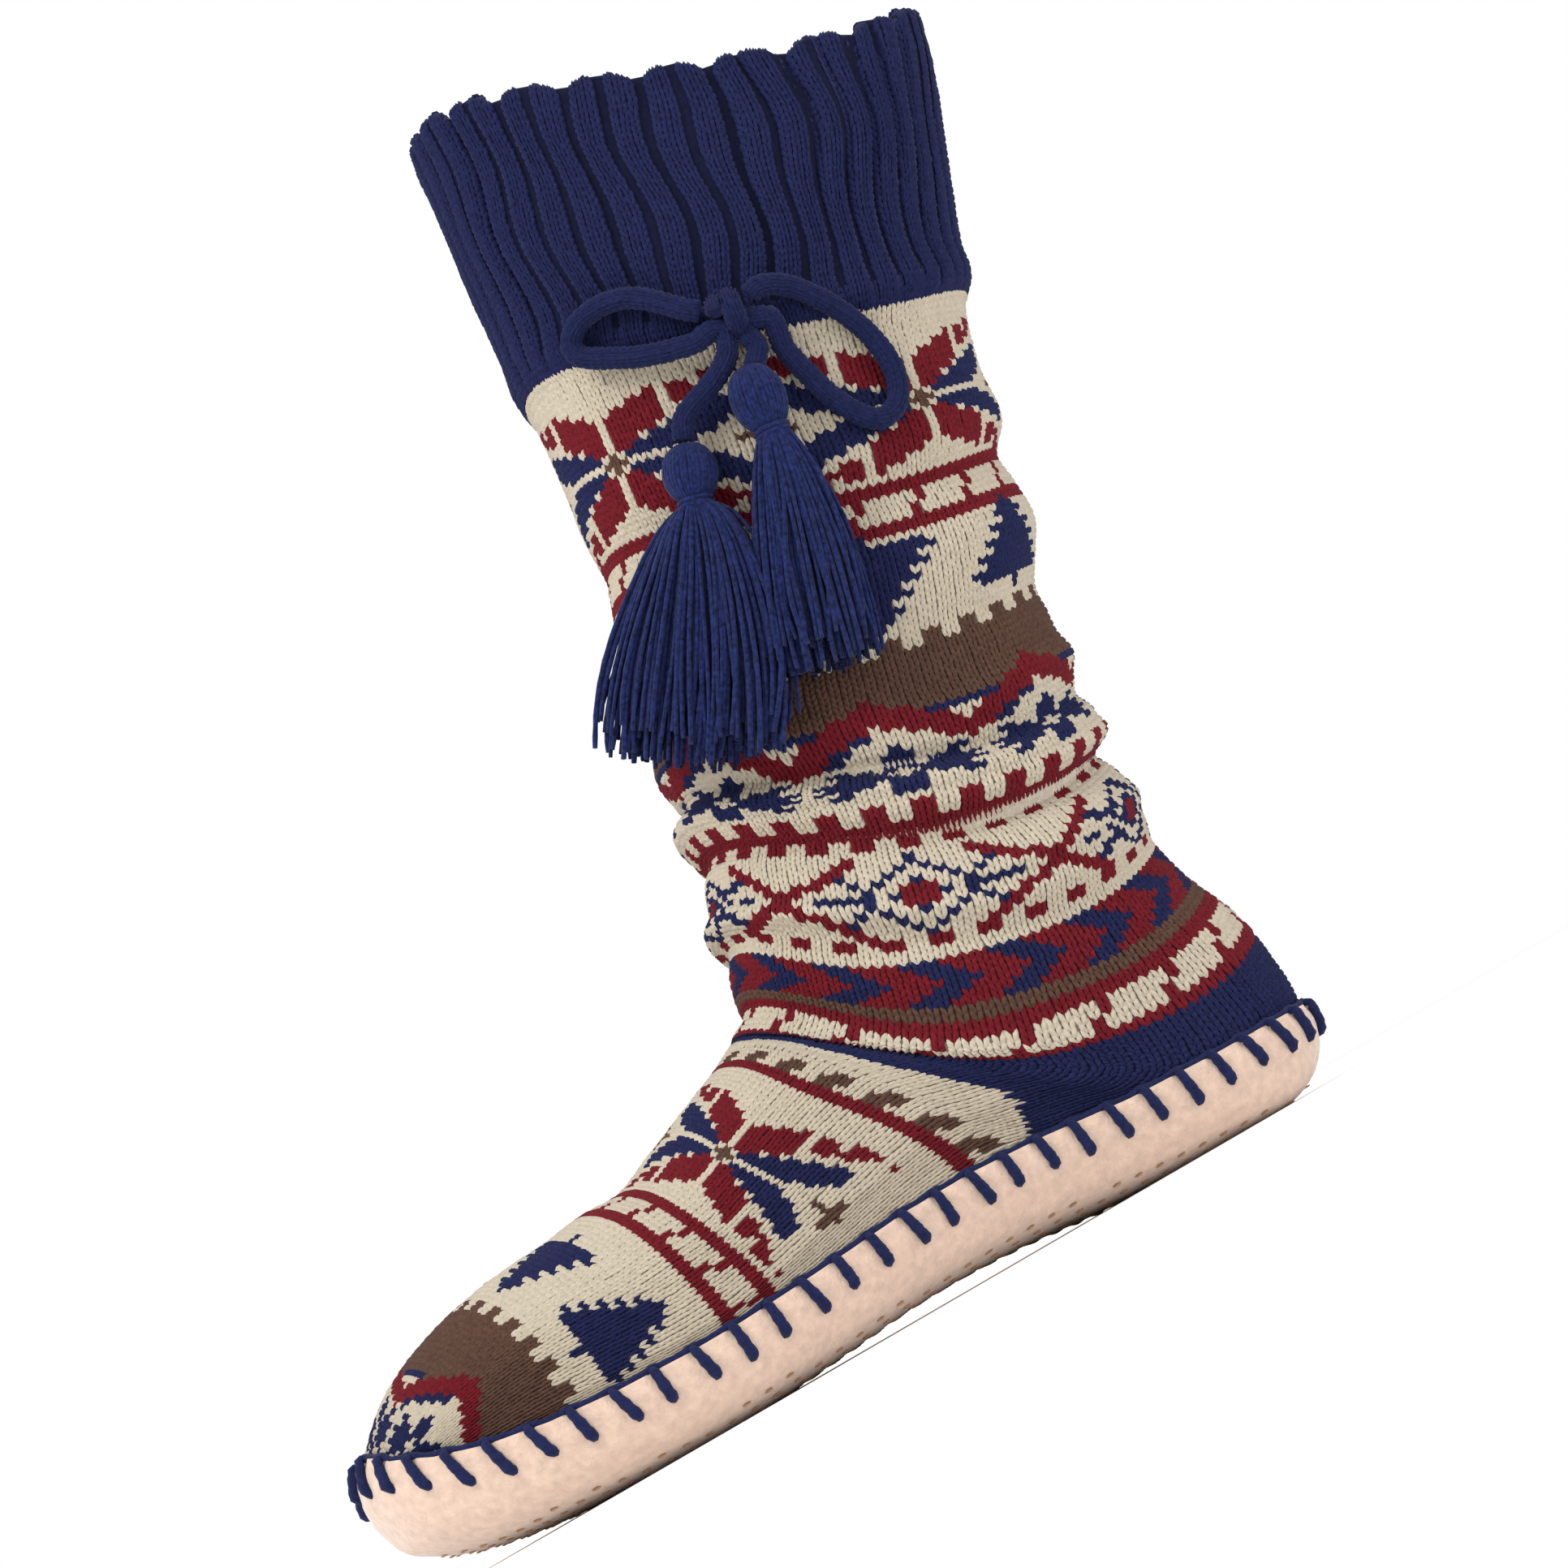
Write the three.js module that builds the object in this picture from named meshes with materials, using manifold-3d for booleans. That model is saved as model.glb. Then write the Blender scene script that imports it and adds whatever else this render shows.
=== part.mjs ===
// A tall knitted slipper boot for the left foot, with a suede sole sewn on round its edge.
// It stands empty on its sole. Millimetres: X runs to the toe, Y to the outer side, Z up.
// The origin is on the floor, in the middle of the flat spot under the heel.
import * as THREE from 'three';
import { mergeVertices } from 'three/addons/utils/BufferGeometryUtils.js';
import Module from 'manifold-3d';

const wasm = await Module();
wasm.setup();

// Driving dimensions
const footLength = 264;        // suede sole from heel to toe
const instepHeight = 80;       // front of the ankle above the floor
const shaftHeight = 231;       // from the front of the ankle to the front of the rim
const legWidth = 90;           // side to side below the cuff
const ballWidth = 89;          // knitted foot across the ball
const heelWidth = 68;          // knitted foot across the heel
const heelHeight = 45;         // top of the knitted heel pocket
const archHeight = 4;          // rise of the sole under the arch
const toeSpring = 12.6;        // rise of the sole near the toe
const knitWall = 2.4;          // knitted fabric with its lining
const cuffStep = 1.4;          // the folded ribbed cuff stands out by this
const suedeWall = 1.8;         // side of the suede sole
const suedeHeight = 16.5;      // side of the suede sole, floor to stitched edge
const soleRest = 3.0;          // underside of the knitted foot above the floor
const soleDepth = 3.6;         // suede and foam, before the flat spots are pressed
const insoleTop = 5.5;         // top of the footbed above the underside of the foot
const hemHeight = 5.0;         // lower edge of the knit above the underside of the foot
const gap = 0.3;               // between neighbouring pieces
const foldDepth = 3.0;         // deepest slouch folds
const cordRadius = 2.75;       // knitted drawstring
const knotRadius = 6.9;
const strandLead = 3.6;        // straight start of a strand beside the knot
const ballRadius = 6.6;        // bound head of a tassel, half across
const skirtLength = 58;        // tassel from its neck to its ends
const skirtDepth = 7.5;        // half thickness of a tassel at its ends
const neckRadius = 3.7;        // bound neck of a tassel
const lockRadius = 3.1;        // fused lock of yarn at its thickest
const segments = 24;           // facets round the leg
const cordSides = 8;

const colours = { navy: 0x2d376e, cream: 0xd7cdb9, suede: 0xe1c3ac, lining: 0xd9cbb8 };

// Sections of the leg: front and back points in the middle plane, x as a share of
// footLength and z as a share of shaftHeight above the instep, then half width, dip of
// the near and far sides and lean as shares of legWidth, and squareness of the back.
const legColumns = ['name', 'frontX', 'frontZ', 'backX', 'backZ', 'half', 'dip', 'lean', 'square'];
const legSections = [
  ['rim', 0.189, 1.000, -0.294, 0.881, 0.550, 0.167, 0.044, 2.3],
  ['ribHigh', 0.195, 0.929, -0.275, 0.814, 0.542, 0.156, 0.039, 2.2],
  ['ribMid', 0.203, 0.857, -0.252, 0.745, 0.531, 0.144, 0.033, 2.1],
  ['ribLow', 0.209, 0.784, -0.227, 0.671, 0.518, 0.133, 0.028, 2.0],
  ['cuffLow', 0.217, 0.712, -0.201, 0.597, 0.507, 0.122, 0.022, 2.0],
  ['star', 0.227, 0.602, -0.174, 0.498, 0.498, 0.111, 0.017, 2.0],
  ['doubleRed', 0.236, 0.511, -0.157, 0.422, 0.489, 0.111, 0.011, 2.0],
  ['trees', 0.252, 0.437, -0.142, 0.346, 0.489, 0.111, 0.006, 2.0],
  ['brown', 0.270, 0.357, -0.122, 0.275, 0.484, 0.122, 0.000, 2.0],
  ['zigzag', 0.285, 0.299, -0.108, 0.210, 0.478, 0.133, 0.000, 2.0],
  ['snow', 0.288, 0.249, -0.103, 0.158, 0.471, 0.144, 0.000, 2.0],
  ['castle', 0.296, 0.206, -0.098, 0.113, 0.469, 0.156, 0.000, 2.0],
  ['lattice', 0.307, 0.149, -0.093, 0.048, 0.462, 0.178, 0.000, 2.0],
  ['dots', 0.319, 0.102, -0.093, -0.006, 0.453, 0.200, 0.000, 2.0],
  ['chevron', 0.330, 0.056, -0.096, -0.060, 0.436, 0.222, 0.000, 2.1],
  ['dash', 0.341, 0.022, -0.114, -0.113, 0.411, 0.244, 0.000, 2.3],
  ['wedgeTop', 0.355, 0.000, -0.128, -0.152, 0.389, 0.256, 0.000, 2.5],
];

// Sections that fan round the heel: front z as a share of instepHeight, back z as a share
// of heelHeight above the sole, half width and dip as shares of heelWidth.
const heelColumns = ['name', 'frontX', 'frontZ', 'backX', 'backZ', 'half', 'dip', 'wide', 'square'];
const heelSections = [
  ['heelHigh', 0.358, 0.995, -0.133, 0.762, 0.504, 0.309, 0.51, 2.6],
  ['heelMid', 0.360, 0.991, -0.133, 0.512, 0.500, 0.265, 0.52, 2.8],
  ['heelLow', 0.362, 0.988, -0.121, 0.214, 0.500, 0.206, 0.53, 3.0],
  ['heelTurn', 0.364, 0.985, -0.072, 0.024, 0.500, 0.147, 0.54, 3.4],
  ['heelFlat', 0.367, 0.981, 0.015, 0.000, 0.500, 0.088, 0.55, 3.6],
  ['heelFront', 0.370, 0.976, 0.114, 0.019, 0.500, 0.044, 0.56, 3.6],
];

// Sections of the foot: top z as a share of instepHeight, the underside's rise as shares of
// archHeight and toeSpring, half width and sideways shift as shares of ballWidth.
const footColumns = ['name', 'topX', 'topZ', 'soleX', 'arch', 'spring', 'half', 'shift', 'wide', 'square'];
const footSections = [
  ['footFirst', 0.381, 0.957, 0.205, 0.75, 0.000, 0.391, 0.011, 0.57, 3.6],
  ['waist', 0.402, 0.925, 0.288, 1.00, 0.000, 0.410, 0.017, 0.59, 3.6],
  ['instep', 0.438, 0.878, 0.364, 0.90, 0.000, 0.438, 0.011, 0.61, 3.6],
  ['arch', 0.481, 0.818, 0.432, 0.55, 0.000, 0.466, 0.000, 0.62, 3.7],
  ['dip', 0.525, 0.767, 0.496, 0.25, 0.000, 0.488, -0.006, 0.63, 3.8],
  ['ballBack', 0.568, 0.738, 0.553, 0.05, 0.000, 0.499, -0.011, 0.64, 3.8],
  ['ball', 0.617, 0.728, 0.610, 0.00, 0.000, 0.497, -0.017, 0.64, 3.8],
  ['ballFront', 0.678, 0.710, 0.674, 0.00, 0.048, 0.472, -0.028, 0.62, 3.6],
  ['toeBack', 0.739, 0.665, 0.735, 0.00, 0.175, 0.418, -0.045, 0.60, 3.4],
  ['toe', 0.790, 0.593, 0.784, 0.00, 0.381, 0.342, -0.062, 0.58, 3.0],
  ['toeFront', 0.826, 0.500, 0.820, 0.00, 0.667, 0.254, -0.076, 0.56, 2.6],
  ['toeNear', 0.847, 0.408, 0.844, 0.00, 1.000, 0.157, -0.085, 0.55, 2.3],
  ['tip', 0.858, 0.300, 0.858, 0.00, 1.667, 0.006, -0.090, 0.55, 2.0],
];

// Slouch folds: place along the sections, breadth in sections, and how far the front, the
// sides and the back stand out, as shares of foldDepth.
const foldColumns = ['at', 'breadth', 'front', 'side', 'back'];
const folds = [
  [3.80, 0.30, 0.27, 0.33, 0.73],
  [5.45, 0.40, 0.20, 0.27, 0.80],
  [6.05, 0.28, -0.20, -0.20, -0.67],
  [7.05, 0.42, 0.27, 0.27, 0.80],
  [8.05, 0.30, -0.20, -0.13, -0.53],
  [9.25, 0.32, 0.33, 0.27, 0.87],
  [10.15, 0.26, -0.67, -0.27, -0.53],
  [10.70, 0.26, 1.07, 0.47, 0.33],
  [11.10, 0.20, 0.20, 0.47, 0.93],
  [11.50, 0.22, -0.93, -0.60, -1.07],
  [12.30, 0.30, 0.13, 0.40, 0.87],
  [12.80, 0.24, 1.00, 0.47, 0.13],
  [13.40, 0.28, -0.53, -0.27, -0.33],
  [15.20, 0.45, -0.60, -0.07, 0.20],
  [16.60, 1.20, 0.47, 0.00, 0.00],
  [27.00, 0.60, -0.27, -0.10, 0.00],
  [28.20, 0.50, 0.33, 0.13, 0.00],
];

// Facets between one section and the next
const legSteps = [1, 2, 1, 2, 2, 2, 2, 2, 2, 3, 3, 3, 3, 3, 2, 1, 1];
const heelSteps = [1, 1, 1, 1, 1, 1];
const footSteps = [1, 1, 1, 1, 1, 2, 2, 2, 2, 2, 2, 2];

// Named columns make each row readable where it is used
function named(columns, row) {
  return Object.fromEntries(columns.map((column, index) => [column, row[index]]));
}

function legSection(row) {
  const s = named(legColumns, row);
  return [
    s.frontX * footLength, instepHeight + s.frontZ * shaftHeight,
    s.backX * footLength, instepHeight + s.backZ * shaftHeight,
    s.half * legWidth, s.dip * legWidth, s.lean * legWidth, 0.5, 2, s.square,
  ];
}

function heelSection(row) {
  const s = named(heelColumns, row);
  return [
    s.frontX * footLength, s.frontZ * instepHeight,
    s.backX * footLength, soleRest + s.backZ * (heelHeight - soleRest),
    s.half * heelWidth, s.dip * heelWidth, 0, s.wide, 2, s.square,
  ];
}

function footSection(row) {
  const s = named(footColumns, row);
  return [
    s.topX * footLength, s.topZ * instepHeight,
    s.soleX * footLength, soleRest + s.arch * archHeight + s.spring * toeSpring,
    s.half * ballWidth, 0, s.shift * ballWidth, s.wide, 2, s.square,
  ];
}

const sections = [
  ...legSections.map(legSection),
  ...heelSections.map(heelSection),
  ...footSections.map(footSection),
];
const steps = [...legSteps, ...heelSteps, ...footSteps];
const lastRun = sections.length - 1;
const cuffEnd = legSections.findIndex((row) => row[0] === 'cuffLow');
const shaftEnd = legSections.findIndex((row) => row[0] === 'chevron');
const soleStart = legSections.length - 1;
const heelFlat = legSections.length + heelSections.findIndex((row) => row[0] === 'heelFlat');

// Smooth values between sections, on a Catmull-Rom curve for each column
function sectionAt(run) {
  const held = Math.min(Math.max(run, 0), lastRun - 1e-9);
  const low = Math.floor(held);
  const t = held - low;
  const pick = (k) => sections[Math.min(Math.max(k, 0), lastRun)];
  const [b, c] = [pick(low), pick(low + 1)];
  const a = low > 0 ? pick(low - 1) : b.map((v, i) => 2 * v - c[i]);
  const d = low + 2 <= lastRun ? pick(low + 2) : c.map((v, i) => 2 * v - b[i]);
  return b.map((v, i) => 0.5 * (2 * v + (c[i] - a[i]) * t
    + (2 * a[i] - 5 * v + 4 * c[i] - d[i]) * t * t
    + (3 * v - a[i] - 3 * c[i] + d[i]) * t * t * t));
}

// How far the fabric stands out in its folds
function swell(run, turn) {
  const c = Math.cos(turn);
  const front = (0.5 + 0.5 * c) ** 2;
  const back = (0.5 - 0.5 * c) ** 2;
  const side = Math.sin(turn) ** 2;
  let out = 0;
  for (const row of folds) {
    const fold = named(foldColumns, row);
    const bump = Math.exp(-(((run - fold.at) / fold.breadth) ** 2));
    out += bump * foldDepth * (fold.front * front + fold.side * side + fold.back * back);
  }
  return out;
}

// A point of the knitted surface: turn 0 is the front or top, pi the back or underside
function knitPoint(run, turn, folded = true) {
  const [frontX, frontZ, backX, backZ, half, dip, shift, wide, squareTop, squareBack] = sectionAt(run);
  const c = Math.cos(turn);
  const s = Math.sin(turn);
  const power = 2 / (c >= 0 ? squareTop : squareBack);
  const along = Math.abs(c) ** power;
  const across = Math.sign(s) * Math.abs(s) ** power;
  const share = c >= 0 ? wide * (1 - along) : wide + (1 - wide) * along;
  const dx = backX - frontX;
  const dz = backZ - frontZ;
  const depth = Math.hypot(dx, dz) + 1e-9;
  const out = folded ? swell(run, turn) : 0;
  return new THREE.Vector3(
    frontX + dx * share - (dz / depth) * dip * s * s - (dx / depth) * c * out,
    shift + half * across + s * out,
    frontZ + dz * share + (dx / depth) * dip * s * s - (dz / depth) * c * out,
  );
}

// Outward direction of the smooth surface without its folds
function outward(run, turn) {
  const nudge = 1e-3;
  const held = Math.min(Math.max(run, nudge), lastRun - nudge);
  const round = knitPoint(held, turn + nudge, false).sub(knitPoint(held, turn - nudge, false));
  const along = knitPoint(held + nudge, turn, false).sub(knitPoint(held - nudge, turn, false));
  return along.cross(round).normalize();
}

// A closed mesh from rings of points: with a point at each end, or without them the last
// ring joins the first, as in the wall of a tube
function closedSkin(rings, ends = []) {
  const positions = [...rings.flat(), ...ends];
  const sides = rings[0].length;
  const at = (ring, side) => (ring % rings.length) * sides + (side % sides);
  const indices = [];
  if (ends.length > 0) {
    for (let j = 0; j < sides; j += 1) {
      indices.push(positions.length - 2, at(0, j + 1), at(0, j));
      indices.push(positions.length - 1, at(rings.length - 1, j), at(rings.length - 1, j + 1));
    }
  }
  for (let i = 0; i < rings.length - (ends.length > 0 ? 1 : 0); i += 1) {
    for (let j = 0; j < sides; j += 1) {
      indices.push(at(i, j), at(i, j + 1), at(i + 1, j + 1));
      indices.push(at(i, j), at(i + 1, j + 1), at(i + 1, j));
    }
  }
  const geometry = new THREE.BufferGeometry();
  geometry.setAttribute('position', new THREE.Float32BufferAttribute(positions.flatMap((p) => p.toArray()), 3));
  geometry.setIndex(indices);
  return geometry;
}

function signedVolume(geometry) {
  const position = geometry.getAttribute('position');
  const index = geometry.getIndex().array;
  const corner = [0, 1, 2].map(() => new THREE.Vector3());
  let volume = 0;
  for (let i = 0; i < index.length; i += 3) {
    corner.forEach((point, k) => point.fromBufferAttribute(position, index[i + k]));
    volume += corner[0].dot(corner[1].clone().cross(corner[2])) / 6;
  }
  return volume;
}

// A closed geometry becomes a solid, with its faces turned outward
function toSolid(geometry) {
  const bare = geometry.clone();
  bare.deleteAttribute('normal');
  bare.deleteAttribute('uv');
  const merged = mergeVertices(bare, 1e-4);
  const index = Array.from(merged.getIndex().array);
  if (signedVolume(merged) < 0) {
    for (let i = 0; i < index.length; i += 3) {
      [index[i + 1], index[i + 2]] = [index[i + 2], index[i + 1]];
    }
  }
  const vertProperties = new Float32Array(merged.getAttribute('position').array);
  return new wasm.Manifold(new wasm.Mesh({ numProp: 3, vertProperties, triVerts: new Uint32Array(index) }));
}

function toGeometry(solid) {
  const mesh = solid.getMesh();
  const geometry = new THREE.BufferGeometry();
  geometry.setAttribute('position', new THREE.BufferAttribute(new Float32Array(mesh.vertProperties), 3));
  geometry.setIndex(new THREE.BufferAttribute(new Uint32Array(mesh.triVerts), 1));
  geometry.computeVertexNormals();
  return geometry;
}

// Rows of the surface between two places
function runsBetween(start, end) {
  const runs = [];
  for (let low = 0; low < lastRun; low += 1) {
    for (let k = 0; k < steps[low]; k += 1) runs.push(low + k / steps[low]);
  }
  return runs.filter((run) => run >= start && run <= end);
}

function knitRing(run, offset) {
  return Array.from({ length: segments }, (_, side) => {
    const turn = (2 * Math.PI * side) / segments;
    const normal = outward(run, turn);
    return knitPoint(run, turn).addScaledVector(normal, offset(normal, run));
  });
}

function ringCentre(ring) {
  const sum = ring.reduce((total, point) => total.add(point), new THREE.Vector3());
  return sum.divideScalar(ring.length);
}

const tipPoint = (out) => knitPoint(lastRun, 0, false).add(new THREE.Vector3(out, 0, 0));
const toeEnd = lastRun - 0.4;

// The filled foot below the ankle, moved out by an offset that may depend on the direction
function footBody(offset, tipOut) {
  const rings = runsBetween(soleStart, toeEnd).map((run) => knitRing(run, offset));
  return toSolid(closedSkin(rings, [ringCentre(rings[0]), tipPoint(tipOut)]));
}

// Everything below a line that follows the underside of the foot at a given height
function slabBelow(height, floor) {
  const line = [];
  for (let run = heelFlat; run < lastRun; run += 1) {
    const [, , soleX, soleZ] = sections[run];
    line.push(new THREE.Vector2(soleX, soleZ + height));
  }
  const reach = footLength;
  const shape = new THREE.Shape();
  shape.moveTo(-reach, floor);
  shape.lineTo(2 * reach, floor);
  shape.lineTo(2 * reach, line[line.length - 1].y);
  const curve = new THREE.SplineCurve(line).getPoints(2 * line.length).reverse();
  curve.forEach((point) => shape.lineTo(point.x, point.y));
  shape.lineTo(-reach, line[0].y);
  shape.closePath();
  const slab = new THREE.ExtrudeGeometry(shape, { depth: 2 * reach, bevelEnabled: false });
  slab.rotateX(Math.PI / 2);
  slab.translate(0, reach, 0);
  return toSolid(slab);
}

// Share of the way from the sides to the underside, from how far a normal points down
function downShare(normal, start, end) {
  return THREE.MathUtils.smoothstep(-normal.z, start, end);
}

// Rings along a piece of the knit. At a seam with the next piece it ends a gap short.
function pieceRings(runs, offset) {
  const nudge = 1e-2;
  return runs.map((run, index) => {
    const ring = knitRing(run, offset);
    if (run !== cuffEnd && run !== shaftEnd) return ring;
    const ahead = index === 0 ? nudge : -nudge;
    return ring.map((point, side) => {
      const turn = (2 * Math.PI * side) / segments;
      const along = knitPoint(run + ahead, turn, false).sub(knitPoint(run, turn, false));
      return point.addScaledVector(along.normalize(), gap);
    });
  });
}

// The inside has every other row of the outside, and all of its ends
const thinned = (runs) => runs.filter((run, index) => index % 2 === 0 || index === runs.length - 1);

// The ribbed cuff: knitted double and folded, so that it stands proud outside and inside,
// with a soft lower edge
function makeCuff() {
  const runs = runsBetween(0, cuffEnd);
  const outer = pieceRings(runs, (normal, run) => (run < cuffEnd ? 1 : 0.6) * cuffStep).reverse();
  const inner = pieceRings(thinned(runs), () => -knitWall - 0.5 * cuffStep);
  const outerRim = outer[outer.length - 1];
  const rim = [0.25, 0.5, 0.75].map((share) => outerRim.map((point, side) => {
    const lift = 0.5 * knitWall * Math.sin(Math.PI * share);
    const ease = 0.5 - 0.5 * Math.cos(Math.PI * share);
    return point.clone().lerp(inner[0][side], ease).add(new THREE.Vector3(0, 0, lift));
  }));
  return toSolid(closedSkin([...outer, ...rim, ...inner]));
}

// The slouched leg between the cuff and the ankle
function makeShaft() {
  const runs = runsBetween(cuffEnd, shaftEnd);
  const outer = pieceRings(runs, () => 0).reverse();
  const inner = pieceRings(thinned(runs), () => -knitWall);
  return toSolid(closedSkin([...outer, ...inner]));
}

// The knitted foot: an outer and an inner skin in one, open at the ankle and underneath
function makeUpper() {
  const runs = runsBetween(shaftEnd, toeEnd);
  const outer = pieceRings(runs, () => 0).reverse();
  const inner = pieceRings(runs, () => -knitWall);
  const sock = toSolid(closedSkin([...outer, ...inner], [tipPoint(0), tipPoint(-knitWall)]));
  return sock.subtract(slabBelow(hemHeight, -footLength));
}

// A suede cup that follows the foot, pressed flat on the floor at the heel and the ball
function makeSole() {
  const outside = (normal) => THREE.MathUtils.lerp(gap + suedeWall, soleDepth, downShare(normal, 0.3, 0.95));
  const cup = footBody(outside, gap + suedeWall).subtract(footBody(() => 1.6 * gap, 2 * gap));
  return cup.intersect(slabBelow(suedeHeight, 0));
}

// A padded footbed: it fills the foot below the knit's hem and stands just inside the wall
function makeInsole() {
  const inside = -knitWall - gap;
  const pad = footBody(() => inside, inside).intersect(slabBelow(insoleTop, -footLength));
  const base = footBody(() => 0, 0).intersect(slabBelow(hemHeight - gap, -footLength));
  return pad.add(base);
}

// Each strand of the drawstring leaves the knot in its own direction on the leg's surface,
// in degrees from the toe side upward
const knotCentre = new THREE.Vector3(25.9, 53.1, 229.1);
const knotAcross = new THREE.Vector3(0.936, -0.352, 0);
const strandStart = knotRadius + 0.1;
const strandStraight = knotRadius + strandLead;

function leaving(degrees, reach) {
  const turn = THREE.MathUtils.degToRad(degrees);
  const point = knotCentre.clone().addScaledVector(knotAcross, reach * Math.cos(turn));
  return point.add(new THREE.Vector3(0, 0, reach * Math.sin(turn))).toArray();
}

// Drawstring routes, chosen by hand on the leg's surface
const cordRoutes = {
  loop_left: [
    leaving(38, strandStart), leaving(38, strandStraight), [40.2, 45.0, 244.0],
    [45.4, 40.4, 247.2], [51.2, 34.8, 247.6], [55.2, 31.2, 244.6], [55.0, 31.6, 240.0],
    [50.6, 36.2, 235.6], [44.4, 42.2, 231.0], leaving(-10, strandStraight), leaving(-10, strandStart),
  ],
  loop_right: [
    leaving(166, strandStart), leaving(166, strandStraight), [9.4, 55.8, 228.8],
    [1.4, 53.9, 221.0], [-4.8, 51.4, 211.0], [-6.4, 50.2, 200.4], [-2.4, 50.6, 192.6],
    [5.2, 51.8, 191.2], [11.2, 51.6, 198.6], [14.8, 51.6, 208.6], [17.4, 53.2, 216.2],
    leaving(214, strandStraight), leaving(214, strandStart),
  ],
  end_left: [
    leaving(-58, strandStart), leaving(-58, strandStraight), [36.6, 49.0, 216.8],
    [41.4, 46.0, 215.0], [45.6, 44.0, 212.8], [48.3, 43.2, 207.7],
  ],
};

function cordGeometry(points) {
  const path = new THREE.CatmullRomCurve3(points.map((p) => new THREE.Vector3(...p)));
  const ring = Array.from({ length: cordSides }, (_, k) => {
    const turn = (2 * Math.PI * k) / cordSides;
    return new THREE.Vector2(Math.cos(turn), Math.sin(turn)).multiplyScalar(cordRadius);
  });
  const stepLength = 2.2 * cordRadius;
  return new THREE.ExtrudeGeometry(new THREE.Shape(ring), {
    extrudePath: path,
    steps: Math.ceil(path.getLength() / stepLength),
    bevelEnabled: false,
  });
}

// An oval body, wide and deep along two directions of a frame
function oval(centre, frame, radii) {
  const geometry = new THREE.SphereGeometry(1, 10, 7);
  geometry.scale(...radii);
  geometry.applyMatrix4(frame.clone().setPosition(centre));
  return toSolid(geometry);
}

// A frame whose first axis runs across, whose second stands off the leg and whose third
// runs down the piece
function frameFrom(down, off) {
  const third = down.clone().normalize();
  const first = off.clone().cross(third).normalize();
  const second = third.clone().cross(first);
  return new THREE.Matrix4().makeBasis(first, second, third);
}

// The bow's knot: a round core with one turn of the cord over it
function makeKnot() {
  const off = new THREE.Vector3(0.352, 0.936, 0);
  const frame = frameFrom(new THREE.Vector3(0.1, 0, -1), off);
  const wrap = new THREE.TorusGeometry(knotRadius - 0.2 - cordRadius, cordRadius, cordSides, 12);
  wrap.rotateY(Math.PI / 2);
  wrap.applyMatrix4(frame.clone().setPosition(knotCentre));
  const core = oval(knotCentre, frame, [0.98 * knotRadius, 0.86 * knotRadius, 0.9 * knotRadius]);
  return core.add(toSolid(wrap));
}

// A tassel's skirt from neck to ends: half width and half depth as shares of its largest
const skirtColumns = ['share', 'width', 'depth'];
const skirtRows = [
  [0.00, 0.28, 0.50],
  [0.12, 0.42, 0.66],
  [0.35, 0.64, 0.84],
  [0.65, 0.84, 0.94],
  [0.90, 0.90, 0.90],
];
const skirtSides = 10;
const lockSides = 5;
const lockReach = [1.00, 0.93, 1.03, 0.95, 0.90, 1.01, 0.94, 0.98];
const lockColumns = ['share', 'thick'];
const lockRows = [[0.05, 0.58], [0.35, 0.94], [0.72, 1.00], [0.93, 0.61]];

// One lock of yarn: a strip that swells and ends in a point
function lockSkin(toWorld, turn, reach, width) {
  const spread = (share) => 0.32 + 0.68 * Math.sin(0.5 * Math.PI * Math.min(share * 1.1, 1));
  const centreAt = (share) => new THREE.Vector3(
    Math.cos(turn) * (width - lockRadius) * spread(share),
    Math.sin(turn) * (skirtDepth - 0.8 * lockRadius) * spread(share),
    share * reach * skirtLength,
  );
  const rings = lockRows.map((row) => {
    const { share, thick } = named(lockColumns, row);
    const radius = thick * lockRadius;
    return Array.from({ length: lockSides }, (_, k) => {
      const around = (2 * Math.PI * k) / lockSides;
      const point = centreAt(share);
      point.x += radius * Math.cos(around);
      point.y += 0.8 * radius * Math.sin(around);
      return point.applyMatrix4(toWorld);
    });
  });
  return toSolid(closedSkin(rings, [centreAt(0).applyMatrix4(toWorld), centreAt(1).applyMatrix4(toWorld)]));
}

// A tassel: bound head, neck and a skirt of fused locks, hanging from its cord
function makeTassel({ head, end, off, headLong, width, stub }) {
  const top = new THREE.Vector3(...head);
  const down = new THREE.Vector3(...end).sub(top);
  const frame = frameFrom(down, new THREE.Vector3(...off));
  const neck = top.clone().addScaledVector(down.normalize(), headLong + 0.3 * neckRadius);
  const toWorld = frame.clone().setPosition(neck);
  const ringAt = (z, across, deep) => Array.from({ length: skirtSides }, (_, k) => {
    const around = (2 * Math.PI * k) / skirtSides;
    return new THREE.Vector3(across * Math.cos(around), deep * Math.sin(around), z).applyMatrix4(toWorld);
  });
  const core = [ringAt(-0.7 * neckRadius, neckRadius, 0.95 * neckRadius), ringAt(0, 1.1 * neckRadius, neckRadius)];
  for (const row of skirtRows) {
    const s = named(skirtColumns, row);
    core.push(ringAt(0.3 * neckRadius + s.share * skirtLength, s.width * width, s.depth * skirtDepth));
  }
  let solid = oval(top, frame, [ballRadius, 0.92 * ballRadius, headLong]);
  solid = solid.add(toSolid(closedSkin(core, [ringCentre(core[0]), ringCentre(core[core.length - 1])])));
  lockReach.forEach((reach, k) => {
    solid = solid.add(lockSkin(toWorld, (2 * Math.PI * (k + 0.5)) / lockReach.length, reach, width));
  });
  if (stub) solid = solid.add(toSolid(cordGeometry([...stub, head])));
  return solid;
}

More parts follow.
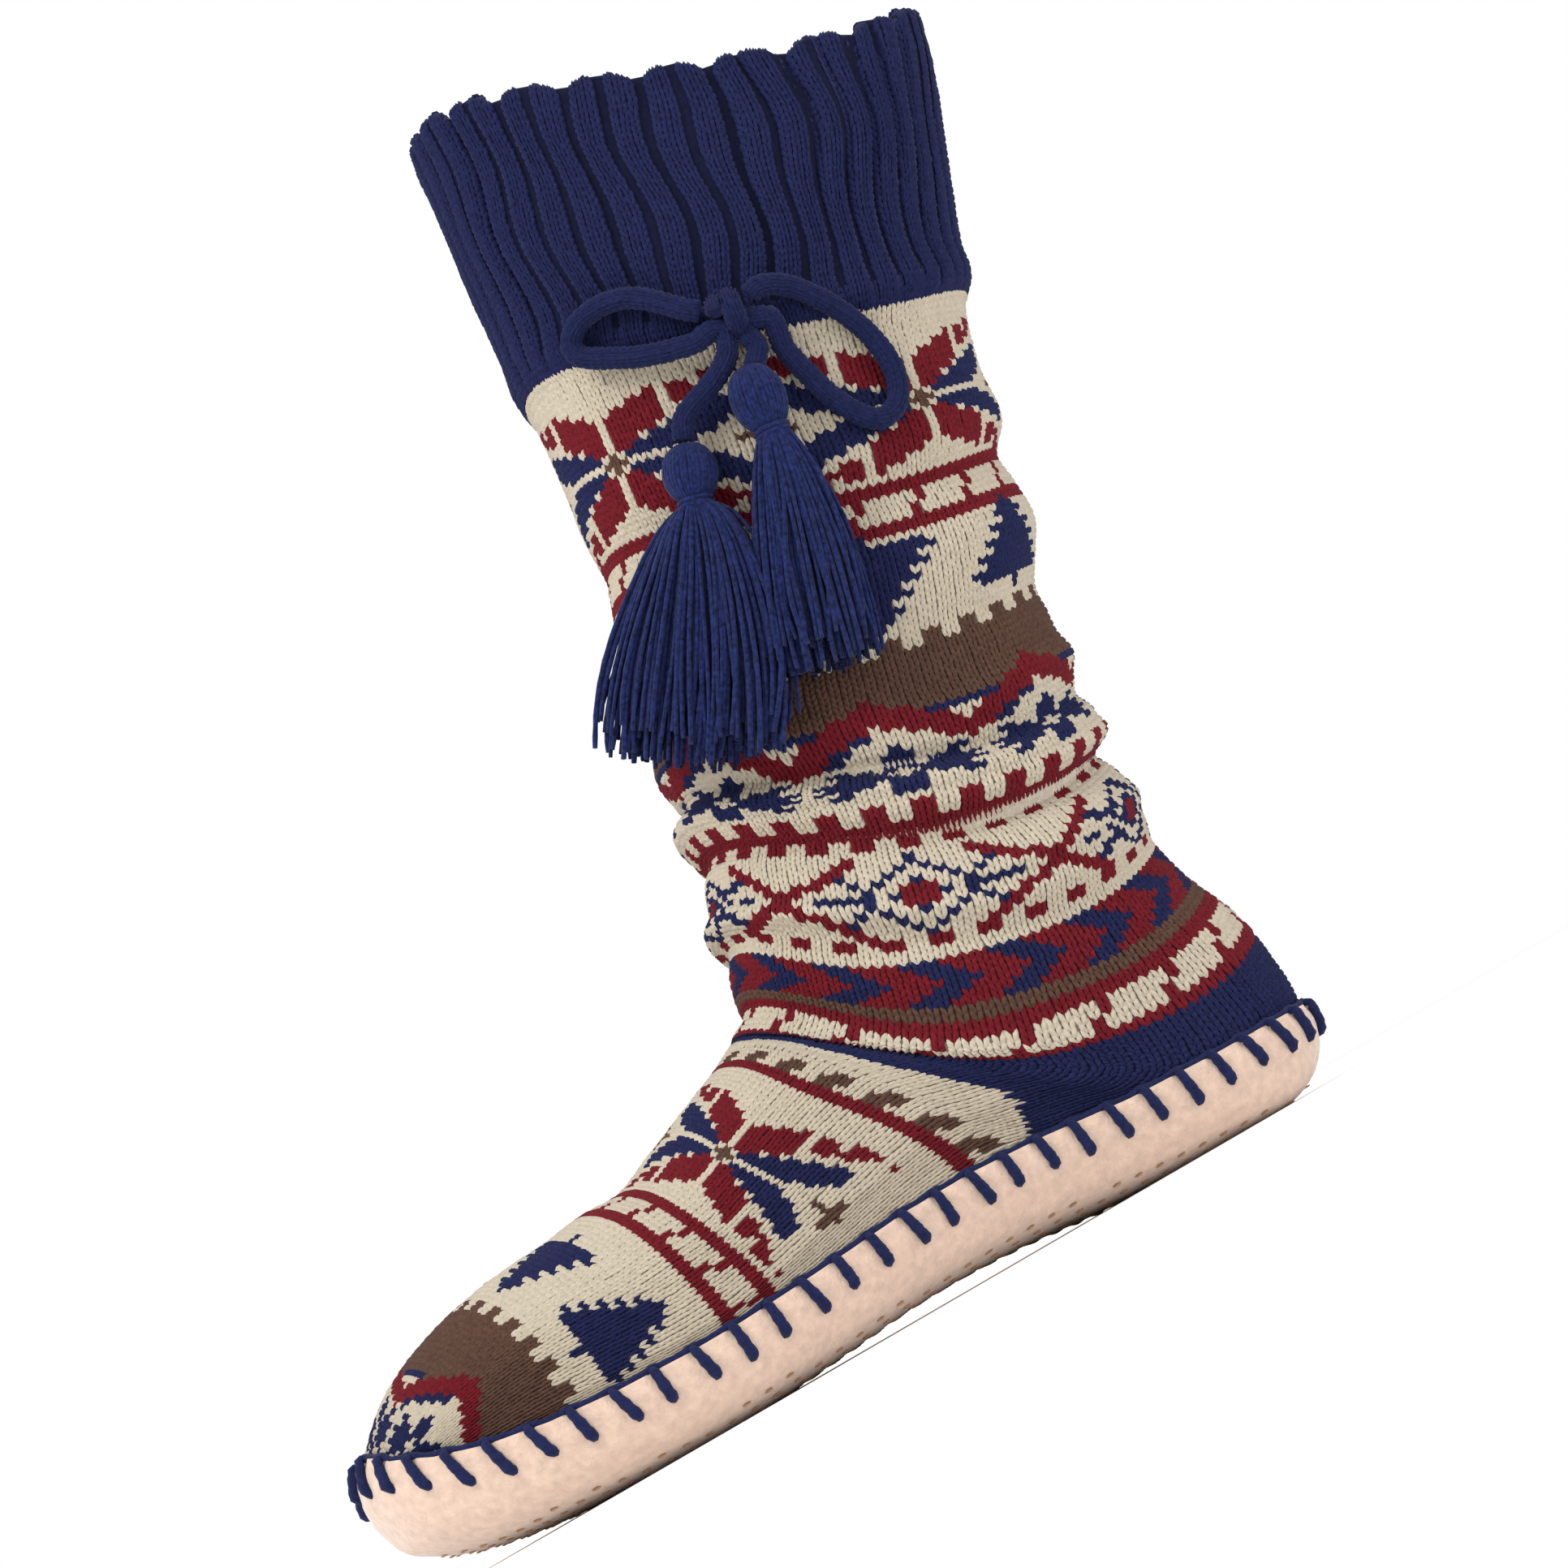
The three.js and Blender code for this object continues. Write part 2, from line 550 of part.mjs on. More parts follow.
const tassels = {
  tassel_left: {
    head: [50.6, 42.8, 200.6], end: [69.4, 40.0, 145.0], off: [0.62, 0.78, 0.16], headLong: 7.0, width: 18.5,
  },
  tassel_right: {
    head: [30.4, 53.8, 207.6], end: [38.6, 54.6, 149.0], off: [0.33, 0.94, 0.0], headLong: 8.2, width: 12.5,
    stub: [leaving(-104, strandStart), leaving(-102, strandStraight)],
  },
};

// The assembly
function place(name, geometry, colour, roughness) {
  const material = new THREE.MeshStandardMaterial({ color: colour, roughness, metalness: 0 });
  const mesh = new THREE.Mesh(geometry, material);
  mesh.name = name;
  return mesh;
}

const slipper = new THREE.Group();
slipper.add(place('sole', toGeometry(makeSole()), colours.suede, 0.95));
slipper.add(place('insole', toGeometry(makeInsole()), colours.lining, 0.95));
slipper.add(place('upper', toGeometry(makeUpper()), colours.cream, 0.9));
slipper.add(place('shaft', toGeometry(makeShaft()), colours.cream, 0.9));
slipper.add(place('cuff', toGeometry(makeCuff()), colours.navy, 0.9));
slipper.add(place('knot', toGeometry(makeKnot()), colours.navy, 0.9));
for (const [name, points] of Object.entries(cordRoutes)) {
  slipper.add(place(name, toGeometry(toSolid(cordGeometry(points))), colours.navy, 0.9));
}
for (const [name, facts] of Object.entries(tassels)) {
  slipper.add(place(name, toGeometry(makeTassel(facts)), colours.navy, 0.9));
}

export default slipper;
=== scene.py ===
# The looks of a tall knitted slipper boot: stitches, ribs, suede, yarn and tassels.
import math

import bmesh
import bpy
import numpy as np
from mathutils import Matrix, Vector
from mathutils.bvhtree import BVHTree


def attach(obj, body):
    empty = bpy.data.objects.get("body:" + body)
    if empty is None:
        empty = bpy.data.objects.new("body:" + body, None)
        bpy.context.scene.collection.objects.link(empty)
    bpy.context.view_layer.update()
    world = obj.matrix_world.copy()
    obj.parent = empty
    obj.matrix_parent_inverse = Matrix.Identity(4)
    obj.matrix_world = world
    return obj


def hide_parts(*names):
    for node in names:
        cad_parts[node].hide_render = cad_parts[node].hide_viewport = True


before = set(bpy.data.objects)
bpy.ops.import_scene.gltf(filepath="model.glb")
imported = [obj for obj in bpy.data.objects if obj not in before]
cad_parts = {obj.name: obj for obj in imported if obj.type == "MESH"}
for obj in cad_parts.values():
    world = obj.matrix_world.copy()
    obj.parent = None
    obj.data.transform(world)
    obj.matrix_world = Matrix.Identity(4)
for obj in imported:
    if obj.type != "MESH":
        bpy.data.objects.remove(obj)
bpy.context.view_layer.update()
MM = 0.001

# Named sizes, as in the part's source
FOOT_LENGTH = 264
INSTEP_HEIGHT = 80
SHAFT_HEIGHT = 231
LEG_WIDTH = 90
BALL_WIDTH = 89
HEEL_WIDTH = 68
HEEL_HEIGHT = 45
ARCH_HEIGHT = 4
TOE_SPRING = 12.6
KNIT_WALL = 2.4
CUFF_STEP = 1.4
SUEDE_WALL = 1.8
SUEDE_HEIGHT = 16.5
SOLE_REST = 3.0
SOLE_DEPTH = 3.6
FOLD_REACH = 3.0
CORD_RADIUS = 2.75
KNOT_RADIUS = 6.9

# Leg: front x and z, back x and z, half width, dip, lean, squareness of the back
LEG = [
    (0.189, 1.000, -0.294, 0.881, 0.550, 0.167, 0.044, 2.3),
    (0.195, 0.929, -0.275, 0.814, 0.542, 0.156, 0.039, 2.2),
    (0.203, 0.857, -0.252, 0.745, 0.531, 0.144, 0.033, 2.1),
    (0.209, 0.784, -0.227, 0.671, 0.518, 0.133, 0.028, 2.0),
    (0.217, 0.712, -0.201, 0.597, 0.507, 0.122, 0.022, 2.0),
    (0.227, 0.602, -0.174, 0.498, 0.498, 0.111, 0.017, 2.0),
    (0.236, 0.511, -0.157, 0.422, 0.489, 0.111, 0.011, 2.0),
    (0.252, 0.437, -0.142, 0.346, 0.489, 0.111, 0.006, 2.0),
    (0.270, 0.357, -0.122, 0.275, 0.484, 0.122, 0.000, 2.0),
    (0.285, 0.299, -0.108, 0.210, 0.478, 0.133, 0.000, 2.0),
    (0.288, 0.249, -0.103, 0.158, 0.471, 0.144, 0.000, 2.0),
    (0.296, 0.206, -0.098, 0.113, 0.469, 0.156, 0.000, 2.0),
    (0.307, 0.149, -0.093, 0.048, 0.462, 0.178, 0.000, 2.0),
    (0.319, 0.102, -0.093, -0.006, 0.453, 0.200, 0.000, 2.0),
    (0.330, 0.056, -0.096, -0.060, 0.436, 0.222, 0.000, 2.1),
    (0.341, 0.022, -0.114, -0.113, 0.411, 0.244, 0.000, 2.3),
    (0.355, 0.000, -0.128, -0.152, 0.389, 0.256, 0.000, 2.5),
]

# Heel: front x and z, back x and z, half width, dip, share at the sides, squareness
HEEL = [
    (0.358, 0.995, -0.133, 0.762, 0.504, 0.309, 0.51, 2.6),
    (0.360, 0.991, -0.133, 0.512, 0.500, 0.265, 0.52, 2.8),
    (0.362, 0.988, -0.121, 0.214, 0.500, 0.206, 0.53, 3.0),
    (0.364, 0.985, -0.072, 0.024, 0.500, 0.147, 0.54, 3.4),
    (0.367, 0.981, 0.015, 0.000, 0.500, 0.088, 0.55, 3.6),
    (0.370, 0.976, 0.114, 0.019, 0.500, 0.044, 0.56, 3.6),
]

# Foot: top x and z, sole x, rise by arch and spring, half width, shift, share, squareness
FOOT = [
    (0.381, 0.957, 0.205, 0.75, 0.000, 0.391, 0.011, 0.57, 3.6),
    (0.402, 0.925, 0.288, 1.00, 0.000, 0.410, 0.017, 0.59, 3.6),
    (0.438, 0.878, 0.364, 0.90, 0.000, 0.438, 0.011, 0.61, 3.6),
    (0.481, 0.818, 0.432, 0.55, 0.000, 0.466, 0.000, 0.62, 3.7),
    (0.525, 0.767, 0.496, 0.25, 0.000, 0.488, -0.006, 0.63, 3.8),
    (0.568, 0.738, 0.553, 0.05, 0.000, 0.499, -0.011, 0.64, 3.8),
    (0.617, 0.728, 0.610, 0.00, 0.000, 0.497, -0.017, 0.64, 3.8),
    (0.678, 0.710, 0.674, 0.00, 0.048, 0.472, -0.028, 0.62, 3.6),
    (0.739, 0.665, 0.735, 0.00, 0.175, 0.418, -0.045, 0.60, 3.4),
    (0.790, 0.593, 0.784, 0.00, 0.381, 0.342, -0.062, 0.58, 3.0),
    (0.826, 0.500, 0.820, 0.00, 0.667, 0.254, -0.076, 0.56, 2.6),
    (0.847, 0.408, 0.844, 0.00, 1.000, 0.157, -0.085, 0.55, 2.3),
    (0.858, 0.300, 0.858, 0.00, 1.667, 0.006, -0.090, 0.55, 2.0),
]

# Slouch folds: place, breadth, and reach of front, side and back as shares of FOLD_REACH
FOLDS = [
    (3.80, 0.30, 0.27, 0.33, 0.73),
    (5.45, 0.40, 0.20, 0.27, 0.80),
    (6.05, 0.28, -0.20, -0.20, -0.67),
    (7.05, 0.42, 0.27, 0.27, 0.80),
    (8.05, 0.30, -0.20, -0.13, -0.53),
    (9.25, 0.32, 0.33, 0.27, 0.87),
    (10.15, 0.26, -0.67, -0.27, -0.53),
    (10.70, 0.26, 1.07, 0.47, 0.33),
    (11.10, 0.20, 0.20, 0.47, 0.93),
    (11.50, 0.22, -0.93, -0.60, -1.07),
    (12.30, 0.30, 0.13, 0.40, 0.87),
    (12.80, 0.24, 1.00, 0.47, 0.13),
    (13.40, 0.28, -0.53, -0.27, -0.33),
    (15.20, 0.45, -0.60, -0.07, 0.20),
    (16.60, 1.20, 0.47, 0.00, 0.00),
    (27.00, 0.60, -0.27, -0.10, 0.00),
    (28.20, 0.50, 0.33, 0.13, 0.00),
]


def leg_row(s):
    fx, fz, bx, bz, half, dip, lean, square = s
    return (
        fx * FOOT_LENGTH, INSTEP_HEIGHT + fz * SHAFT_HEIGHT,
        bx * FOOT_LENGTH, INSTEP_HEIGHT + bz * SHAFT_HEIGHT,
        half * LEG_WIDTH, dip * LEG_WIDTH, lean * LEG_WIDTH, 0.5, square,
    )


def heel_row(s):
    fx, fz, bx, bz, half, dip, wide, square = s
    return (
        fx * FOOT_LENGTH, fz * INSTEP_HEIGHT,
        bx * FOOT_LENGTH, SOLE_REST + bz * (HEEL_HEIGHT - SOLE_REST),
        half * HEEL_WIDTH, dip * HEEL_WIDTH, 0.0, wide, square,
    )


def foot_row(s):
    tx, tz, sx, arch, spring, half, shift, wide, square = s
    return (
        tx * FOOT_LENGTH, tz * INSTEP_HEIGHT,
        sx * FOOT_LENGTH, SOLE_REST + arch * ARCH_HEIGHT + spring * TOE_SPRING,
        half * BALL_WIDTH, 0.0, shift * BALL_WIDTH, wide, square,
    )


# All sections in order: front x and z, back x and z, half width, dip, shift, share at the
# sides, squareness. A place on the knit is a number that counts sections down from the rim,
# and a turn is an angle round the leg from the front
SECTIONS = np.array(
    [leg_row(s) for s in LEG] + [heel_row(s) for s in HEEL] + [foot_row(s) for s in FOOT]
)
SQUARENESS = 8
LAST_RUN = len(SECTIONS) - 1
PADDED = np.vstack([2 * SECTIONS[0] - SECTIONS[1], SECTIONS, 2 * SECTIONS[-1] - SECTIONS[-2]])
CUFF_END = 4.05
TIP_RUN = LAST_RUN - 0.25


def spline(a, b, c, d, t):
    """The Catmull-Rom curve between b and c."""
    cubic = 3 * b - a - 3 * c + d
    return 0.5 * (2 * b + (c - a) * t + (2 * a - 5 * b + 4 * c - d) * t**2 + cubic * t**3)


def section_values(run):
    held = np.clip(run, 0, LAST_RUN - 1e-6)
    low = np.floor(held).astype(int)
    return spline(*(PADDED[low + k] for k in range(4)), (held - low)[:, None])


def fade(run, end, breadth):
    """1 above a place, falling smoothly to 0 below it."""
    return 1 / (1 + np.exp(np.clip((run - end) / breadth, -60, 60)))


def swell(run, turn):
    """How far the cuff and the slouch folds stand out."""
    c = np.cos(turn)
    front, back, side = (0.5 + 0.5 * c) ** 2, (0.5 - 0.5 * c) ** 2, np.sin(turn) ** 2
    out = CUFF_STEP * fade(run, CUFF_END, 0.05)
    for at, breadth, fold_front, fold_side, fold_back in FOLDS:
        bump = np.exp(-(((run - at) / breadth) ** 2)) * FOLD_REACH
        out = out + bump * (fold_front * front + fold_side * side + fold_back * back)
    return out


# The cuff's ribs stand in pairs, with the deepest valley between pairs
RIB_PAIRS = 22
RIB_WALES = 4
CUFF_WALES = 2 * RIB_WALES * RIB_PAIRS
VALLEY_TURN = math.pi / CUFF_WALES
RIBS_END = 3.72
RIB_RISE = 1.1
DEEP_VALLEY = 3.6
DEEP_BREADTH = 0.085
SHALLOW_VALLEY = 2.3
SHALLOW_BREADTH = 0.075
MEANDER = 0.03


def meander(run, turn):
    """How far the ribs wander round the cuff."""
    wander = np.sin(1.7 * run + 3 * turn) + np.sin(2.9 * run - 5 * turn + 1.0)
    return 0.5 * MEANDER * wander * fade(run, RIBS_END, 0.12)


def rib(run, turn):
    """Height of the ribs, with uneven valleys between them."""
    phase = (turn - meander(run, turn) - VALLEY_TURN) * RIB_PAIRS / math.tau
    pair = np.abs(np.mod(phase + 0.5, 1) - 0.5)
    half = np.abs(np.mod(phase, 1) - 0.5)
    uneven = 0.8 + 0.2 * np.sin(5 * turn + 0.5 * run) + 0.25 * np.sin(11 * turn - 0.9 * run)
    deep = DEEP_VALLEY * uneven * np.exp(-((pair / DEEP_BREADTH) ** 2))
    shallow = SHALLOW_VALLEY * (1.6 - uneven) * np.exp(-((half / SHALLOW_BREADTH) ** 2))
    return (RIB_RISE - deep - shallow) * fade(run, RIBS_END, 0.12)


def knit_point(run, turn):
    """Points of the knitted surface in millimetres."""
    fx, fz, bx, bz, half, dip, shift, wide, square = section_values(run).T
    c, s = np.cos(turn), np.sin(turn)
    power = 2 / np.where(c >= 0, 2.0, square)
    along = np.abs(c) ** power
    across = np.sign(s) * np.abs(s) ** power
    share = np.where(c >= 0, wide * (1 - along), wide + (1 - wide) * along)
    dx, dz = bx - fx, bz - fz
    depth = np.hypot(dx, dz) + 1e-9
    out = swell(run, turn) + soft_bumps(CREASES, run, turn) + rib(run, turn)
    x = fx + dx * share - (dz / depth) * dip * s * s - (dx / depth) * c * out
    y = shift + half * across + s * out
    z = fz + dz * share + (dx / depth) * dip * s * s - (dz / depth) * c * out
    return np.stack([x, y, z], axis=1)


# Soft creases: place, turn in degrees, spread in places above and below,
# spread in degrees, slope in places per quarter turn, and height in millimetres
CREASES = [
    (10.1, 75, 0.20, 0.20, 34, 0.35, -1.3),
    (10.55, 70, 0.22, 0.22, 30, 0.30, 1.1),
    (11.55, 95, 0.20, 0.20, 36, -0.30, -1.2),
    (12.15, 100, 0.24, 0.24, 32, -0.25, 1.0),
    (13.3, 60, 0.22, 0.22, 28, 0.25, -0.9),
    (8.0, 110, 0.30, 0.30, 30, -0.30, -0.7),
    (6.1, 120, 0.35, 0.35, 26, 0.25, -0.7),
    (10.3, -80, 0.22, 0.22, 34, 0.30, -1.2),
    (11.6, -95, 0.20, 0.20, 34, -0.30, -1.1),
    (12.4, -70, 0.24, 0.24, 30, 0.25, 0.9),
    (7.6, -100, 0.35, 0.35, 30, 0.20, -0.7),
]

# Where the courses of stitches sag, in the same columns, but with the slip in places last
DRIFTS = [
    (8.1, 50, 0.7, 0.7, 26, 0, 0.14),
    (10.1, 41, 0.8, 0.8, 24, 0, 0.42),
    (13.7, 45, 1.5, 1.5, 30, 0, 0.42),
    (16.4, 64, 1.2, 3.2, 25, 0, 2.00),
    (24.5, 48, 2.2, 2.2, 22, 0, 0.24),
    (25.5, 95, 3.0, 3.0, 20, 0, -0.19),
]


def soft_bumps(table, run, turn):
    out = np.zeros_like(run)
    for at, centre, above, below, spread, slope, height in table:
        away = np.angle(np.exp(1j * (turn - math.radians(centre))))
        past = run - at - slope * away / (math.pi / 2)
        breadth = np.where(past < 0, above, below)
        out += height * np.exp(-((past / breadth) ** 2) - (away / math.radians(spread)) ** 2)
    return out


def even_turn(run, turn):
    """Spaces the wales evenly round the squarer sections."""
    c, s = np.cos(turn), np.sin(turn)
    square = section_values(run)[:, SQUARENESS]
    past = np.arctan((np.abs(c) / np.maximum(np.abs(s), 1e-9)) ** (square / 2))
    side = np.where(s >= 0, math.pi / 2 + past, -math.pi / 2 - past)
    return np.where(c >= 0, turn, side)


# The cloth goes on over the rolled rim and down the inside where its place is negative
RIM_SPAN = 0.36
RIM_RADIUS = 1.9
SCALLOP_HEIGHT = 2.4
SCALLOP_REACH = 0.3
STEP = 2e-3


def outer_frame(run, turn):
    """Points of the outside, with the directions out of it and along it."""
    low, high = np.maximum(run - STEP, 0), np.minimum(run + STEP, TIP_RUN + 0.1)
    along = knit_point(high, turn) - knit_point(low, turn)
    around = knit_point(run, turn + STEP) - knit_point(run, turn - STEP)
    normal = np.cross(along, around)
    normal /= np.linalg.norm(normal, axis=1)[:, None] + 1e-12
    along /= np.linalg.norm(along, axis=1)[:, None] + 1e-12
    return knit_point(run, turn), normal, along


def cloth(place, turn):
    """Points and outward normals of the cloth: outside, over the rim or inside."""
    outside = place + soft_bumps(DRIFTS, place, turn)
    run = np.where(place >= 0, outside, np.maximum(-place - RIM_SPAN, 0))
    turn = even_turn(run, turn)
    valley = 0.5 * (turn - VALLEY_TURN) * RIB_PAIRS
    turn = turn + meander(run, turn)
    point, normal, along = outer_frame(run, turn)
    roll = np.clip(-place / RIM_SPAN, 0, 1)[:, None] * math.pi
    point = point - along * RIM_RADIUS * np.sin(roll) - normal * RIM_RADIUS * (1 - np.cos(roll))
    scallop = SCALLOP_HEIGHT * np.abs(np.sin(valley))
    point[:, 2] += scallop * np.exp(-((run / SCALLOP_REACH) ** 2))
    return point, normal * np.cos(roll) - along * np.sin(roll)


# Meshes from arrays
def linked(name, data):
    obj = bpy.data.objects.new(name, data)
    bpy.context.scene.collection.objects.link(obj)
    return obj


def make_object(name, verts, faces, materials, slots):
    mesh = bpy.data.meshes.new(name)
    verts = np.asarray(verts, dtype=np.float32).reshape(-1, 3) * MM
    faces = np.asarray(faces, dtype=np.int32)
    mesh.vertices.add(len(verts))
    mesh.vertices.foreach_set("co", verts.ravel())
    sides = faces.shape[1]
    mesh.loops.add(faces.size)
    mesh.loops.foreach_set("vertex_index", faces.ravel())
    mesh.polygons.add(len(faces))
    mesh.polygons.foreach_set("loop_start", np.arange(0, faces.size, sides, dtype=np.int32))
    mesh.polygons.foreach_set("loop_total", np.full(len(faces), sides, dtype=np.int32))
    mesh.polygons.foreach_set("use_smooth", np.full(len(faces), True))
    for look in materials:
        mesh.materials.append(look)
    mesh.polygons.foreach_set("material_index", np.asarray(slots, dtype=np.int32))
    mesh.update(calc_edges=True)
    mesh.validate()
    return linked(name, mesh)


def grid_faces(rows, columns):
    """Quads between closed rings of points."""
    i, j = np.meshgrid(np.arange(rows - 1), np.arange(columns), indexing="ij")
    k = (j + 1) % columns
    quads = [i * columns + j, i * columns + k, (i + 1) * columns + k, (i + 1) * columns + j]
    return np.stack(quads, axis=-1).reshape(-1, 4)


def finish_piece(obj, slot, *nodes):
    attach(obj, "root")
    if nodes:
        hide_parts(*nodes)
    return obj


# Materials
TINT_SPREAD = 1.6


def set_values(node, values):
    for name, value in values.items():
        node.inputs[name].default_value = value


def material(name, colour, roughness=0.85, sheen=0.3, tint=0.12, tint_scale=900.0, bumps=()):
    """A cloth whose colour varies a little. bumps are scale, strength and distance."""
    made = bpy.data.materials.new(name)
    made.use_nodes = True
    nodes, links = made.node_tree.nodes, made.node_tree.links
    shader = nodes["Principled BSDF"]
    set_values(shader, {"Roughness": roughness, "Specular IOR Level": 0.14})
    set_values(shader, {"Sheen Weight": sheen, "Sheen Roughness": 0.5})
    place = nodes.new("ShaderNodeTexCoord")
    noise = nodes.new("ShaderNodeTexNoise")
    set_values(noise, {"Scale": tint_scale, "Detail": 4.0})
    links.new(place.outputs["Object"], noise.inputs["Vector"])
    ramp = nodes.new("ShaderNodeValToRGB")
    low = [max(0.0, c * (1 - TINT_SPREAD * tint)) for c in colour]
    high = [min(1.0, c * (1 + TINT_SPREAD * tint)) for c in colour]
    dark, light = ramp.color_ramp.elements
    dark.position = 0.25
    light.position = 0.75
    dark.color = (*low, 1)
    light.color = (*high, 1)
    links.new(noise.outputs["Fac"], ramp.inputs["Fac"])
    links.new(ramp.outputs["Color"], shader.inputs["Base Color"])
    normal = None
    for scale, strength, distance in bumps:
        grain = nodes.new("ShaderNodeTexNoise")
        set_values(grain, {"Scale": scale, "Detail": 3.0})
        links.new(place.outputs["Object"], grain.inputs["Vector"])
        bump = nodes.new("ShaderNodeBump")
        set_values(bump, {"Strength": strength, "Distance": distance})
        links.new(grain.outputs["Fac"], bump.inputs["Height"])
        if normal is not None:
            links.new(normal, bump.inputs["Normal"])
        normal = bump.outputs["Normal"]
    if normal is not None:
        links.new(normal, shader.inputs["Normal"])
    return made


YARN_BUMPS = ((2600.0, 0.5, 0.0004), (900.0, 0.25, 0.0005))
CREAM, BURGUNDY, NAVY, BROWN, LINING = range(5)
# Name, colour and how much it varies
YARN_COLOURS = [
    ("cream", (0.56, 0.49, 0.385), 0.08),
    ("burgundy", (0.150, 0.008, 0.015), 0.20),
    ("navy", (0.0118, 0.0155, 0.066), 0.24),
    ("brown", (0.100, 0.052, 0.036), 0.18),
]
FLEECE = material("lining_fleece", (0.52, 0.45, 0.36), sheen=0.4, bumps=((700.0, 0.6, 0.001),))
YARNS = [
    material("yarn_" + name, colour, sheen=0.04, tint=tint, bumps=YARN_BUMPS)
    for name, colour, tint in YARN_COLOURS
]
YARNS.append(FLEECE)
# Painted shade: the cloth between the stitches gets darker copies of the yarn colours, for the shade it
# lies in
PAINTED_SHADE = 0.38
PAINTED_SHADE_YARNS = [
    material("painted_shade_" + name, tuple(PAINTED_SHADE * c for c in colour), sheen=0.0, tint=tint)
    for name, colour, tint in YARN_COLOURS
]
PAINTED_SHADE_YARNS.append(FLEECE)
CORD_YARN = material("cord_navy", (0.0095, 0.0140, 0.062), sheen=0.05, tint=0.25, bumps=YARN_BUMPS)
# The tassel's wide tint spread is partly the yarn's random tone and partly painted highlight, lighter
# patches standing in for light on the strands
TASSEL_YARN = material("tassel_navy", (0.0085, 0.0150, 0.076), sheen=0.06, tint=0.50, bumps=YARN_BUMPS)
SUEDE = material(
    "suede", (0.68, 0.50, 0.395), sheen=0.4, tint=0.09, tint_scale=420.0,
    bumps=((1500.0, 0.6, 0.0005), (160.0, 0.3, 0.001)),
)
DOTS = material(
    "sole_dots", (0.42, 0.24, 0.13), roughness=0.6, sheen=0.0, tint=0.08,
    bumps=((900.0, 0.2, 0.0003),),
)


def unit(vector):
    return np.asarray(vector, dtype=float) / np.linalg.norm(vector)


# Camera: the photograph's angle, rolled, just above the floor
PHOTO_WIDTH = 1932
PIXELS_PER_MM = 5.07
SENSOR_WIDTH = 36.0


def set_camera():
    azimuth, distance, height, roll = math.radians(22), 1150.0, 5.0, math.radians(30)
    target = np.array([78.0, 0.0, 150.0])
    eye = np.array([
        target[0] + distance * math.sin(azimuth), target[1] + distance * math.cos(azimuth), height,
    ])
    scale = PIXELS_PER_MM * np.linalg.norm(target - eye)

    def axes(aim):
        forward = unit(aim - eye)
        right = unit(np.cross(forward, [0, 0, 1]))
        up = np.cross(right, forward)
        turned = right * math.cos(roll) - up * math.sin(roll)
        return forward, turned, right * math.sin(roll) + up * math.cos(roll)

    _, right, up = axes(target)
    # The photograph's middle lies 163 pixels right of the target and 34 below it
    aim = target + right * (163 / PIXELS_PER_MM) - up * (34 / PIXELS_PER_MM)
    forward, right, up = axes(aim)
    camera = linked("camera", bpy.data.cameras.new("camera"))
    camera.data.sensor_width = SENSOR_WIDTH
    camera.data.sensor_fit = "HORIZONTAL"
    camera.data.lens = scale / PHOTO_WIDTH * SENSOR_WIDTH
    camera.data.clip_start = 0.01
    camera.data.clip_end = 20.0
    rotation = Matrix([right, up, -forward]).transposed().to_4x4()
    camera.matrix_world = Matrix.Translation(Vector(eye * MM)) @ rotation
    bpy.context.scene.camera = camera


set_camera()


# Lines of points
def lengths_along(points):
    """Distance of each point from the first, along the line through them."""
    steps = np.linalg.norm(np.diff(points, axis=0), axis=1)
    return np.concatenate([[0], np.cumsum(steps)])


def points_at(where, lengths, points):
    return np.stack([np.interp(where, lengths, points[:, k]) for k in range(3)], axis=1)


def path_frames(points):
    """Points, directions and two steady sideways directions along a path."""
    points = np.asarray(points, dtype=float)
    tangents = np.gradient(points, axis=0)
    tangents /= np.linalg.norm(tangents, axis=1)[:, None] + 1e-12
    sides = [unit(np.cross(tangents[0], [0.3, 0.2, 0.9]))]
    for k in range(1, len(points)):
        sides.append(unit(sides[-1] - tangents[k] * np.dot(sides[-1], tangents[k])))
    sides = np.array(sides)
    return points, tangents, sides, np.cross(tangents, sides)


def smooth_path(points, spacing):
    """A curve through given points, with points at even steps."""
    points = np.asarray(points, dtype=float)
    padded = np.vstack([2 * points[0] - points[1], points, 2 * points[-1] - points[-2]])
    t = np.linspace(0, 1, 24, endpoint=False)[:, None]
    curves = [spline(*padded[k:k + 4], t) for k in range(len(points) - 1)]
    fine = np.vstack([*curves, points[-1]])
    lengths = lengths_along(fine)
    count = max(3, int(round(lengths[-1] / spacing)) + 1)
    return points_at(np.linspace(0, lengths[-1], count), lengths, fine)


def tube_mesh(points, radius, sides, ply=0.0, twist=0.0):
    """A capped tube of two plies that turn along it. radius may vary by point."""
    points, _, side, off = path_frames(points)
    around = np.arange(sides) * math.tau / sides
    cos, sin = np.cos(around)[None, :, None], np.sin(around)[None, :, None]
    ring = side[:, None, :] * cos + off[:, None, :] * sin
    along = np.arange(len(points))[:, None]
    grow = np.broadcast_to(radius, (len(points),))[:, None]
    grow = grow * (1 + ply * np.cos(2 * (around[None, :] - twist * along)))
    verts = (points[:, None, :] + ring * grow[..., None]).reshape(-1, 3)
    faces = grid_faces(len(points), sides)
    caps = []
    for row, centre in ((0, 0), (len(points) - 1, -1)):
        at = row * sides
        middle = len(verts)
        verts = np.vstack([verts, points[centre]])
        for k in range(0, sides, 2):
            quad = [at + k, at + (k + 1) % sides, at + (k + 2) % sides, middle]
            caps.append(quad if row else quad[::-1])
    return verts, np.vstack([faces[:, ::-1], np.array(caps)])


